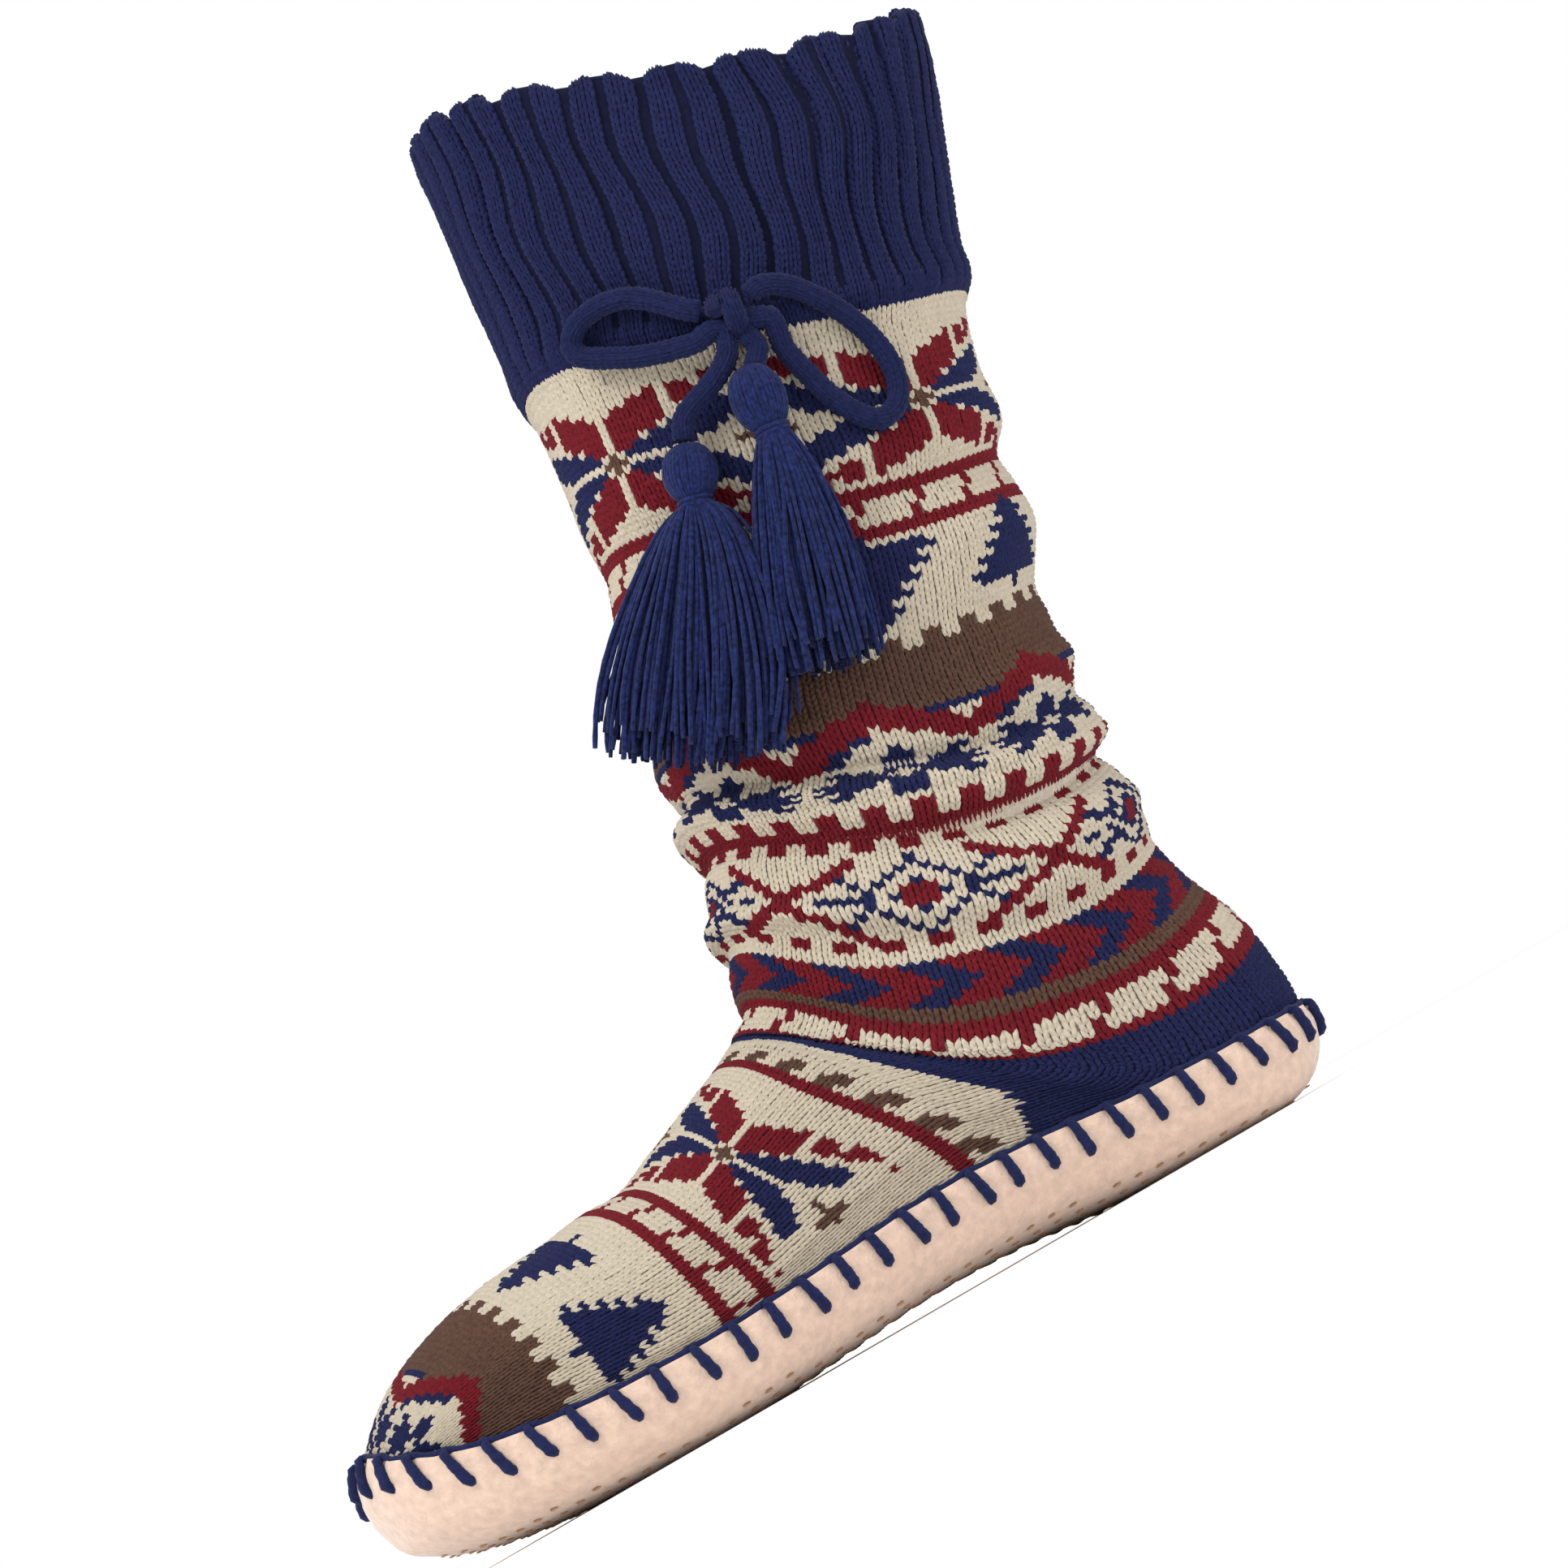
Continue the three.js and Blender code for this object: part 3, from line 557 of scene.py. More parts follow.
class Pile:
    """Gathers many small meshes into one."""

    def __init__(self):
        self.verts, self.faces, self.slots, self.count = [], [], [], 0

    def add(self, verts, faces, slot=0):
        self.verts.append(np.asarray(verts, dtype=float))
        self.faces.append(np.asarray(faces) + self.count)
        self.slots.append(np.full(len(faces), slot))
        self.count += len(verts)

    def make(self, name, materials):
        slots = np.concatenate(self.slots)
        return make_object(name, np.vstack(self.verts), np.vstack(self.faces), materials, slots)


# Knitted stitches: two domed leaves in a V for each stitch, as shares of its cell. Each row
# of a leaf has a place along the stitch, a width, a height and a distance from the middle
LEAF_ALONG = np.array([-0.42, 0.12, 0.66, 1.16])
LEAF_WIDE = np.array([0.26, 0.42, 0.41, 0.20])
LEAF_HIGH = np.array([-0.15, 0.92, 1.00, 0.05])
LEAF_MIDDLE = np.array([0.31, 0.28, 0.21, 0.10])


def leaf_offsets():
    """Positions of a stitch's points in its cell: across, along and height."""
    rows = []
    for hand in (-1, 1):
        for along, wide, high, middle in zip(LEAF_ALONG, LEAF_WIDE, LEAF_HIGH, LEAF_MIDDLE):
            for edge in (-0.5, 0.0, 0.5):
                height = high if edge == 0 else high * 0.15 - 0.2
                rows.append((hand * middle + edge * wide, along, height))
    return np.array(rows)


def leaf_faces():
    quads = []
    for leaf in range(2):
        for row in range(len(LEAF_ALONG) - 1):
            for column in range(2):
                at = leaf * 3 * len(LEAF_ALONG) + row * 3 + column
                quads.append([at, at + 3, at + 4, at + 1])
    return np.array(quads)


OFFSETS = leaf_offsets()
LEAF_QUADS = leaf_faces()
rng = np.random.default_rng(7)


def lay_stitches(across, along, wale, course, place, height):
    """The stitches at cell centres. place gives points and normals."""
    count = len(across)
    jitter = rng.normal(0, 0.035, (count, 1))
    lift = height * (1 + rng.normal(0, 0.10, (count, 1)))
    u = across[:, None] + (OFFSETS[None, :, 0] + jitter) * wale
    v = along[:, None] + OFFSETS[None, :, 1] * course[:, None] - 0.5 * course[:, None]
    points, normals = place(v.ravel(), u.ravel())
    verts = points + normals * (OFFSETS[None, :, 2] * lift).reshape(-1, 1)
    size = len(OFFSETS)
    faces = (LEAF_QUADS[None, :, :] + size * np.arange(count)[:, None, None]).reshape(-1, 4)
    return verts, faces


# Stitches round the leg, height of a row of stitches, and where leg and heel end
WALES = 112
COURSE = 1.72
LEG_END = 16.4
HEEL_END = 22.6


def even_runs(start, end, turn, spacing):
    """Places at even distances along one side of the knit."""
    fine = np.linspace(start, end, 1500)
    lengths = lengths_along(knit_point(fine, np.full_like(fine, turn)))
    count = int(round(lengths[-1] / spacing))
    return np.interp(np.linspace(0, lengths[-1], count + 1), lengths, fine)


CUFF_RUNS = even_runs(0.0, CUFF_END, math.radians(80), COURSE)
LEG_RUNS = even_runs(CUFF_END, LEG_END, math.radians(80), COURSE)
HEEL_RUNS = even_runs(LEG_END, HEEL_END, math.pi, COURSE)
FOOT_RUNS = even_runs(HEEL_END, TIP_RUN, math.radians(55), COURSE)

# Colour charts, one letter to a stitch, repeated round the leg
DASHES = ["rrrrrr", "rrrrrr", ".....r", ".....r", "....r.", "....r.", "rrrrrr", "rrrrrr"]
STAR_CENTRE = 10
STAR_WALES = 28
STAR = [
    "bb..........bbb", "b.nnnnnnn.....b", ".rrnnnnnnnn...b", ".rrr.nnnnnnn...", ".rrrrr.nnnnnn..",
    ".rrrrrr..nnnn..", ".rrrrrr....nn..", "..rrrrr.rr.....", "....rrr.rrrr...", "......r.rr.rr..",
    "...........rrr.",
]
TREE_HALVES = [0, 1, 2, 1, 3, 2, 4, 3, 5, 4, 6, 5, 0, 0]
TREE_WALES = 16
FLAKE = [
    "........n.......", ".......nnn......", "..nn...nnn...nn.", "...nnn.nnn.nnn..",
    ".nnnnnnn.nnnnnnn", "..nnnnn...nnnnn.", ".nnnnnnn.nnnnnnn", "...nnn.nnn.nnn..",
    "..nn...nnn...nn.", ".......nnn......",
]
BATTLEMENT = ["rr..", "rr..", "rr..", "rrrr", "rrrr", "rrrr", "..rr", "..rr"]
DOTS_ROW = ["rr..", "rr.."]
TEETH = ["bb..", "bb.."]
BROWN_SPOTS = [".bb..", "bbb..", "bb..."]
LETTERS = {".": CREAM, "r": BURGUNDY, "n": NAVY, "b": BROWN}


def letters(rows):
    return np.array([[LETTERS[letter] for letter in row] for row in rows])


def chart(rows):
    """The rows and the pattern that repeats them."""
    table = letters(rows)
    return len(rows), lambda row, wale: table[row, np.mod(wale, table.shape[1])]


def from_middle(wale, period):
    """Distance in stitches from the middle of a repeat."""
    return np.abs(np.mod(wale + period / 2, period) - period / 2)


def star(row, wale):
    """An eight-pointed star from one quarter of its chart."""
    return letters(STAR)[abs(row - STAR_CENTRE), from_middle(wale, STAR_WALES).astype(int)]


def trees(row, wale):
    """Small firs with saw-tooth sides, every other one upside down."""
    upright = np.mod(np.floor_divide(wale + TREE_WALES // 2, TREE_WALES), 2) == 0
    halves = np.where(upright, TREE_HALVES[row], TREE_HALVES[len(TREE_HALVES) - 1 - row])
    return np.where(from_middle(wale, TREE_WALES) <= halves, NAVY, CREAM)


def zigzag(period, depth):
    """The rows and pattern of a red zigzag under brown, with navy lines."""
    rows = depth + 5

    def pattern(row, wale):
        away = from_middle(wale, period)
        signed = np.mod(wale + period / 2, period) - period / 2
        middle = 1.7 + depth * (1 - 2 * away / period)
        colour = np.full(len(wale), CREAM)
        colour[row < middle] = BROWN
        colour[(row < middle) & (row == depth - 2) & (away <= 3)] = NAVY
        colour[(row < middle) & (row > depth - 2) & (away <= 2)] = CREAM
        colour[(row > middle) & (row <= middle + 2.8) & (signed > 2)] = NAVY
        colour[np.abs(row - middle) <= 1.7] = BURGUNDY
        return colour

    return rows, pattern


LATTICE_WALES = WALES / 5
LATTICE_MIDDLE = 8


def lattice(row, wale):
    """Navy diamonds with red hearts, between red crosses."""
    a = from_middle(wale, LATTICE_WALES)
    b = LATTICE_WALES / 2 - a
    y = abs(row - LATTICE_MIDDLE)
    heart = a / 4.7 + y / 5.6
    side = np.abs(a - 6.9) / 4.6 + y / 4.1
    colour = np.full(len(wale), CREAM)
    colour[(side > 0.80) & (side < 1.07) & (b > 1.2)] = NAVY
    colour[side < 0.24] = NAVY
    colour[heart < 1.10] = NAVY
    colour[heart < 0.84] = CREAM
    colour[heart < 0.52] = NAVY
    colour[(a <= 1) & (y <= 1)] = BURGUNDY
    colour[(np.abs(y - 0.9 * b) <= 0.95) & (b <= 6.2)] = BURGUNDY
    return colour


def chevron(row, wale):
    """Sideways arrows in navy and red."""
    bend = np.mod(wale + abs(row - 3), 7)
    return np.where(bend < 4, BURGUNDY, NAVY)


def plain(colour):
    return lambda row, wale: np.full(len(wale), colour)


# Bands of the leg and the foot: first course, courses, chart and first stitch
LEG_BANDS = [
    (4, 21, star, 7),
    (25, *chart(DASHES), 3),
    (32, 14, trees, 41),
    (47, *chart(TEETH), 1),
    (49, 7, plain(BROWN), 0),
    (55, *zigzag(16, 5), 30),
    (62, *chart(FLAKE), 15),
    (73, *chart(BATTLEMENT), 11),
    (80, 17, lattice, 21),
    (94, *chart(DOTS_ROW), 13),
    (98, 7, chevron, 31),
    (105, 2, plain(BROWN), 0),
    (107, *chart(DASHES), 2),
]
FOOT_BANDS = [
    (1, *chart(BROWN_SPOTS), 1),
    (4, 2, plain(BURGUNDY), 0),
    (10, 21, star, 13),
    (32, *chart(DASHES), 0),
    (44, 14, trees, 23),
    (60, *chart(TEETH), 2),
    (62, 8, plain(BROWN), 0),
    (69, *zigzag(24, 6), 30),
    (77, *chart(FLAKE), 9),
]
# A stitch this far round is where the rows of a pattern meet
SEAM_WALE = 84
# The heel's pocket is navy behind this x, and a navy row runs on to the front, to this place
HEEL_POCKET = 56.0
NAVY_ROW = 21.2


def band_colours(runs, bands, wales):
    """One colour for each course and wale."""
    table = np.full((len(runs) - 1, wales), CREAM)
    wale = np.arange(wales)
    wale = np.where(wale > SEAM_WALE, wale - wales, wale)
    for start, courses, pattern, first in bands:
        for row in range(min(courses, len(table) - start)):
            found = pattern(row, wale - first)
            table[start + row] = np.where(found == CREAM, table[start + row], found)
    return table


def fan_colours(places, turns):
    """Colours of the heel's fan, between the leg and the foot."""
    point = cloth(places, turns)[0]
    colour = np.full(len(places), CREAM)
    colour[places < NAVY_ROW] = NAVY
    colour[point[:, 0] < HEEL_POCKET] = NAVY
    return colour


# From this section on the back of a section lies on the sole
FIRST_ON_SOLE = 21
SOLE_X = SECTIONS[FIRST_ON_SOLE:, 2]
SOLE_Z = SECTIONS[FIRST_ON_SOLE:, 3]


def underside(x):
    return np.interp(x, SOLE_X, SOLE_Z)


def above_suede(points, height):
    return points[:, 2] > underside(points[:, 0]) + height


def cells(runs, wales, table=None):
    """A zone of stitches: the turn, place, height and colour of each cell."""
    rows = len(runs) - 1
    turn = np.tile((np.arange(wales) + 0.5) * math.tau / wales, rows)
    place = np.repeat(0.5 * (runs[1:] + runs[:-1]), wales)
    course = np.repeat(runs[1:] - runs[:-1], wales)
    colour = np.full(rows * wales, NAVY) if table is None else table.ravel()
    return turn, place, course, colour


def fan_cells():
    """The heel's fan, where fewer courses run on to the front."""
    turns, places, courses = [], [], []
    fine = np.linspace(LEG_END, HEEL_END, 200)
    for wale in range(WALES):
        turn = (wale + 0.5) * math.tau / WALES
        points = cloth(fine, np.full_like(fine, turn))[0]
        length = np.linalg.norm(np.diff(points, axis=0), axis=1).sum()
        spacing = length / (len(HEEL_RUNS) - 1)
        stride = 2 ** max(0, math.ceil(math.log2(0.8 * COURSE / spacing)))
        rows = np.linspace(0, len(HEEL_RUNS) - 1, max(2, (len(HEEL_RUNS) - 1) // stride + 1))
        runs = np.interp(rows, np.arange(len(HEEL_RUNS)), HEEL_RUNS)
        places.append(0.5 * (runs[1:] + runs[:-1]))
        courses.append(runs[1:] - runs[:-1])
        turns.append(np.full(len(runs) - 1, turn))
    turns, places, courses = (np.concatenate(part) for part in (turns, places, courses))
    return turns, places, courses, fan_colours(places, turns)


def kept(zone, keep):
    return tuple(part[keep] for part in zone)


def part_of(zone, start, end):
    return kept(zone, (zone[1] >= start) & (zone[1] < end))


def without_valleys(zone, wales):
    """In the valleys between ribs the stitches are left out, so only the cloth with its painted shade
    shows.
    """
    wale = np.floor(zone[0] * wales / math.tau).astype(int)
    return kept(zone, (wale % RIB_WALES != 0) | (zone[1] > RIBS_END))


def fan_cloth(place, turn):
    """The cloth of the fan, where long stitches may not reach over their neighbours."""
    return cloth(np.clip(place, LEG_END - 0.15, HEEL_END + 0.2), turn)


STITCH_HEIGHT = 0.78
# Below this place stitches and cloth end a little under the suede's edge
SUEDE_START = 15
STITCHES_ABOVE = 12.0
CLOTH_ABOVE = 6.0


def knit_piece(name, zone, wales=WALES, cover=cloth):
    point, _ = cloth(zone[1], zone[0])
    keep = above_suede(point, STITCHES_ABOVE) | (zone[1] < SUEDE_START)
    turn, place, course, colour = kept(zone, keep)
    height = STITCH_HEIGHT * (WALES / wales) ** 0.5
    verts, faces = lay_stitches(turn, place, math.tau / wales, course, cover, height)
    pile = Pile()
    pile.add(verts, faces, np.repeat(colour, len(LEAF_QUADS)))
    return finish_piece(pile.make(name, YARNS), "knit")


LEG_TABLE = band_colours(LEG_RUNS, LEG_BANDS, WALES)
FOOT_TABLE = band_colours(FOOT_RUNS, FOOT_BANDS, WALES)
# The star's band on the foot is plain beside the sole: courses and wales
FOOT_TABLE[10:31, 29:82] = CREAM
# The leg's stitches are two pieces, which part here
LEG_PARTS_AT = 9.6
rim_runs = np.linspace(-RIM_SPAN * 1.35, 0, 5)
cuff_zone = cells(np.concatenate([rim_runs[:-1], CUFF_RUNS]), CUFF_WALES)
leg_zone = cells(LEG_RUNS, WALES, LEG_TABLE)
knit_piece("cuff_stitches", without_valleys(cuff_zone, CUFF_WALES), CUFF_WALES)
knit_piece("leg_stitches_high", part_of(leg_zone, 0, LEG_PARTS_AT))
knit_piece("leg_stitches_low", part_of(leg_zone, LEG_PARTS_AT, LAST_RUN))
knit_piece("heel_stitches", fan_cells(), cover=fan_cloth)
knit_piece("foot_stitches", cells(FOOT_RUNS, WALES, FOOT_TABLE))


# The cloth behind the stitches, with its rim and lining; outside the lining it takes the yarn colours
# darkened as painted shade
CLOTH_DEPTH = 0.30
LINING_DEPTH = 2 * RIM_RADIUS - KNIT_WALL - 0.2
NAVY_INSIDE = -2.5


def make_cloth():
    outer = np.concatenate([CUFF_RUNS[:-1], LEG_RUNS[:-1], HEEL_RUNS[:-1], FOOT_RUNS])
    inner = np.concatenate([np.linspace(TIP_RUN, 9.0, 60), np.linspace(8.8, 0.2, 50)])
    # The lining runs straight past the tight corner at the front of the ankle
    inner = -inner[(inner < 14.8) | (inner > 19.0)] - RIM_SPAN
    places = np.concatenate([inner, np.linspace(-RIM_SPAN, 0, 7)[:-1], outer])
    columns = CUFF_WALES
    turns = np.arange(columns) * math.tau / columns
    place = np.repeat(places, columns)
    points, normals = cloth(place, np.tile(turns, len(places)))
    deep = np.where(place >= 0, CLOTH_DEPTH, 0.0) + np.where(place < -RIM_SPAN - 0.5, LINING_DEPTH, 0.0)
    points = points - normals * deep[:, None]
    faces = grid_faces(len(places), columns)
    row = 0.5 * (places[1:] + places[:-1])
    turn = turns + math.pi / columns
    wale = (turn * WALES / math.tau).astype(int)
    slots = np.full((len(row), columns), LINING)
    slots[(row > NAVY_INSIDE) & (row < CUFF_END)] = NAVY
    for runs, table in ((LEG_RUNS, LEG_TABLE), (FOOT_RUNS, FOOT_TABLE)):
        for k in range(len(table)):
            at = np.flatnonzero(np.abs(row - 0.5 * (runs[k] + runs[k + 1])) < 1e-6)
            slots[at] = table[k][wale]
    for at in np.flatnonzero((row > LEG_END) & (row < HEEL_END)):
        slots[at] = fan_colours(np.full(columns, row[at]), turn)
    centre = points[faces].mean(axis=1)
    keep = above_suede(centre, CLOTH_ABOVE) | (np.repeat(np.abs(row), columns) < SUEDE_START)
    obj = make_object("cloth", points, faces[keep], PAINTED_SHADE_YARNS, slots.ravel()[keep])
    return finish_piece(obj, "knit", "upper", "shaft", "cuff")


make_cloth()


# The suede sole: the foot's underside, moved out and cut along its stitched edge
SUEDE_SIDE = 2.2
SUEDE_COLUMNS = 150


def suede_offset(normals):
    """Distance of the suede from the knit, larger below than at the side."""
    share = np.clip((-normals[:, 2] - 0.3) / 0.65, 0, 1)
    share = share * share * (3 - 2 * share)
    return SUEDE_SIDE + share * (SOLE_DEPTH - SUEDE_SIDE)


def make_suede():
    runs = np.concatenate([np.linspace(17.0, 23.0, 60), np.linspace(23.1, TIP_RUN, 110)])
    columns = SUEDE_COLUMNS
    turns = np.arange(columns) * math.tau / columns
    points, normals = cloth(np.repeat(runs, columns), np.tile(turns, len(runs)))
    points = points + normals * suede_offset(normals)[:, None]
    tip = knit_point(np.array([LAST_RUN - 0.01]), np.array([0.0]))[0] + [SUEDE_SIDE, 0, 0]
    faces = grid_faces(len(runs), columns).tolist()
    last = (len(runs) - 1) * columns
    faces += [[last + k, last + (k + 1) % columns, -1] for k in range(columns)]
    work = bmesh.new()
    made = [work.verts.new(v) for v in [*points, tip]]
    for face in faces:
        work.faces.new([made[k] for k in face])
    for v in work.verts:
        v.co.z -= underside(v.co.x) + SUEDE_HEIGHT
    geometry = work.verts[:] + work.edges[:] + work.faces[:]
    bmesh.ops.bisect_plane(
        work, geom=geometry, plane_co=(0, 0, 0), plane_no=(0, 0, 1), clear_outer=True, dist=1e-4,
    )
    for v in work.verts:
        v.co.z += underside(v.co.x) + SUEDE_HEIGHT
    bmesh.ops.remove_doubles(work, verts=work.verts[:], dist=0.05)
    for v in work.verts:
        v.co.z = max(v.co.z, 0.0)
    bmesh.ops.recalc_face_normals(work, faces=work.faces[:])
    return work


def edge_loop(work):
    """The ordered points of the suede's top edge."""
    edges = [e for e in work.edges if e.is_boundary]
    nearby = {}
    for e in edges:
        for v in e.verts:
            nearby.setdefault(v, []).append(e.other_vert(v))
    start = min(nearby, key=lambda v: v.co.x)
    loop, seen = [start], {start}
    while True:
        onward = [v for v in nearby[loop[-1]] if v not in seen]
        if not onward:
            break
        loop.append(onward[0])
        seen.add(onward[0])
    return loop


def even_loop(points, spacing):
    """Points at even distances round a closed line."""
    closed = np.vstack([points, points[:1]])
    lengths = lengths_along(closed)
    count = int(round(lengths[-1] / spacing))
    return points_at(np.linspace(0, lengths[-1], count, endpoint=False), lengths, closed)


STITCH_SPACING = 10.3
STITCH_DEPTH = 8.6
YARN_RADIUS = 1.5
EDGE_YARN_RADIUS = 0.85
GATHER_REACH = 14


def yarn_tube(pile, points, radius, sides=8, twist=0.9):
    pile.add(*tube_mesh(points, radius, sides, 0.10, twist))


def gather(work, stations):
    """The suede swells along its edge and is drawn in under each stitch."""
    for v in work.verts:
        away = np.linalg.norm(stations - np.array(v.co), axis=1).min()
        if away < GATHER_REACH:
            pull = math.exp(-((away / 2.6) ** 2))
            v.co += v.normal * (0.55 - 1.2 * pull) * math.exp(-((away / 9.0) ** 2))


def make_sole():
    work = make_suede()
    tree = BVHTree.FromBMesh(work)
    edge = np.array([v.co[:] for v in edge_loop(work)])
    stations = even_loop(edge, STITCH_SPACING)
    gather(work, stations)
    rim = [e for e in work.edges if e.is_boundary]
    lip = bmesh.ops.extrude_edge_only(work, edges=rim)
    for v in (g for g in lip["geom"] if isinstance(g, bmesh.types.BMVert)):
        found = tree.find_nearest(v.co)
        v.co -= found[1] * (SUEDE_WALL + 0.1)
        v.co.z -= 0.3
    for v in work.verts:
        v.co *= MM
    mesh = bpy.data.meshes.new("suede_sole")
    work.to_mesh(mesh)
    for polygon in mesh.polygons:
        polygon.use_smooth = True
    mesh.materials.append(SUEDE)
    finish_piece(linked("suede_sole", mesh), "suede", "sole")
    blanket_stitches(tree, edge, stations)
    sole_dots(tree)


def blanket_stitches(tree, edge, stations):
    """Stitches over the suede's edge, and the yarn along it."""
    pile = Pile()
    stitch_rng = np.random.default_rng(11)
    tangents = np.roll(stations, -1, axis=0) - np.roll(stations, 1, axis=0)
    tangents /= np.linalg.norm(tangents, axis=1)[:, None]
    for station, tangent in zip(stations, tangents):
        top = Vector(station)
        lean = stitch_rng.normal(0.24, 0.07)
        depth = STITCH_DEPTH * stitch_rng.uniform(0.93, 1.07)
        path = []
        for step in np.linspace(-0.12, 1.0, 9):
            guess = top + Vector(tangent) * (lean * depth * step)
            guess.z = top.z - depth * max(step, 0) * 0.95
            place, normal, _, _ = tree.find_nearest(guess)
            lift = YARN_RADIUS * (0.75 if 0.02 < step < 0.95 else 0.1)
            out = place + normal * lift
            if step < 0:
                out = top + Vector((0, 0, 0.6)) - normal * 1.4
            if step > 0.95:
                out = place - normal * 1.0
            path.append(out)
        path = smooth_path(path, 0.9)
        share = np.linspace(0, 1, len(path))
        drop = np.sin(np.linspace(0.15, 1, len(path)) * 0.86 * math.pi) ** 0.5
        yarn_tube(pile, path, YARN_RADIUS * (0.55 + 0.5 * share**0.5) * (0.45 + 0.55 * drop))
    lifted = []
    for p in even_loop(edge, 1.2):
        _, normal, _, _ = tree.find_nearest(Vector(p))
        near = np.linalg.norm(stations - p, axis=1).min()
        dipped = math.exp(-((near / 2.0) ** 2))
        lifted.append(Vector(p) - normal * (0.9 - 0.3 * dipped) + Vector((0, 0, 0.35 + 0.5 * dipped)))
    lifted.append(lifted[0])
    yarn_tube(pile, lifted, EDGE_YARN_RADIUS)
    finish_piece(pile.make("blanket_stitches", [CORD_YARN]), "cord")


# Rubber dots: their distances along and across, and radius and drop of the rings of a dot
DOT_ALONG = 6.2
DOT_ACROSS = 5.4
DOT_HEIGHT = 0.36
DOT_RINGS = ((1.15, -0.1), (1.05, 0.22), (0.6, DOT_HEIGHT))


def sole_dots(tree):
    pile = Pile()
    turn = np.arange(8) * math.pi / 4
    faces = grid_faces(3, 8).tolist()
    faces += [[16 + k, 16 + (k + 1) % 8, 16 + (k + 2) % 8, 24] for k in range(0, 8, 2)]
    for i in range(-5, 44):
        for j in range(-8, 9):
            x = i * DOT_ALONG + DOT_ALONG / 2 * (j % 2)
            y = j * DOT_ACROSS
            hit, normal, _, _ = tree.ray_cast(Vector((x, y, -20)), Vector((0, 0, 1)))
            if hit is None or normal.z > -0.90:
                continue
            base = max(hit.z, DOT_HEIGHT)
            rings = [
                np.stack([x + r * np.cos(turn), y + r * np.sin(turn), np.full(8, base - drop)], axis=1)
                for r, drop in DOT_RINGS
            ]
            pile.add(np.vstack(rings + [[[x, y, base - DOT_HEIGHT]]]), faces)
    finish_piece(pile.make("sole_dots", [DOTS]), "suede")


make_sole()

# Insole: the CAD solid with a fleece finish
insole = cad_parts["insole"]
insole.data.materials.clear()
insole.data.materials.append(YARNS[LINING])

# The drawstring's routes, as in the part's source
KNOT = np.array([25.9, 53.1, 229.1])
KNOT_ACROSS = np.array([0.936, -0.352, 0.0])
KNOT_OFF = np.array([0.352, 0.936, 0.0])
STRAND_START = KNOT_RADIUS + 0.1
STRAND_STRAIGHT = KNOT_RADIUS + 3.6


def leaving(degrees, reach):
    turn = math.radians(degrees)
    return KNOT + KNOT_ACROSS * reach * math.cos(turn) + np.array([0, 0, reach * math.sin(turn)])


LEFT_ROUTE = [
    leaving(38, STRAND_START), leaving(38, STRAND_STRAIGHT), (40.2, 45.0, 244.0),
    (45.4, 40.4, 247.2), (51.2, 34.8, 247.6), (55.2, 31.2, 244.6), (55.0, 31.6, 240.0),
    (50.6, 36.2, 235.6), (44.4, 42.2, 231.0), leaving(-10, STRAND_STRAIGHT),
    leaving(-10, STRAND_START), leaving(-34, 3.6), leaving(-58, STRAND_START),
    leaving(-58, STRAND_STRAIGHT), (36.6, 49.0, 216.8), (41.4, 46.0, 215.0),
    (45.6, 44.0, 212.8), (48.3, 43.2, 207.7),
]
RIGHT_ROUTE = [
    leaving(166, STRAND_START), leaving(166, STRAND_STRAIGHT), (9.4, 55.8, 228.8),
    (1.4, 53.9, 221.0), (-4.8, 51.4, 211.0), (-6.4, 50.2, 200.4), (-2.4, 50.6, 192.6),
    (5.2, 51.8, 191.2), (11.2, 51.6, 198.6), (14.8, 51.6, 208.6), (17.4, 53.2, 216.2),
    leaving(214, STRAND_STRAIGHT), leaving(214, STRAND_START), leaving(235, 3.6),
    leaving(256, STRAND_START), leaving(258, STRAND_STRAIGHT), (30.0, 54.0, 212.0),
]
CORD_WALES = 8
CORD_COURSE = 1.9
CORD_STITCH_HEIGHT = 0.6


def knitted_cord(name, route):
    """A knitted tube: a core with stitches laid round it."""
    path = smooth_path(route, CORD_COURSE / 2)
    points, _, side, off = path_frames(path)
    steps = np.arange(len(points), dtype=float)
    base = CORD_RADIUS - 0.55

    def place(v, u):
        middle, first, second = (points_at(v, steps, part) for part in (points, side, off))
        out = first * np.cos(u)[:, None] + second * np.sin(u)[:, None]
        return middle + out * base, out

    pile = Pile()
    pile.add(*tube_mesh(points[::2], base, 10))
    rows = (len(points) - 1) // 2
    along = np.repeat(np.arange(rows) * 2.0 + 1.0, CORD_WALES)
    wale = math.tau / CORD_WALES
    around = np.tile((np.arange(CORD_WALES) + 0.5) * wale, rows)
    course = np.full(len(along), 2.0)
    pile.add(*lay_stitches(around, along, wale, course, place, CORD_STITCH_HEIGHT))
    return pile.make(name, [CORD_YARN]), points, lengths_along(points)[-1]


def tassel_frame(head, end, off):
    down = unit(np.asarray(end) - np.asarray(head))
    across = unit(np.cross(off, down))
    return across, np.cross(down, across), down


HEAD_RADIUS = 6.3
HEAD_YARNS = 40
HEAD_YARN_RADIUS = 0.62
NECK_RADIUS = 3.9
NECK_YARN_RADIUS = 0.75
STRANDS = 230
GOLDEN_TURN = 2.399963
SKIRT_DEPTH = 7.4


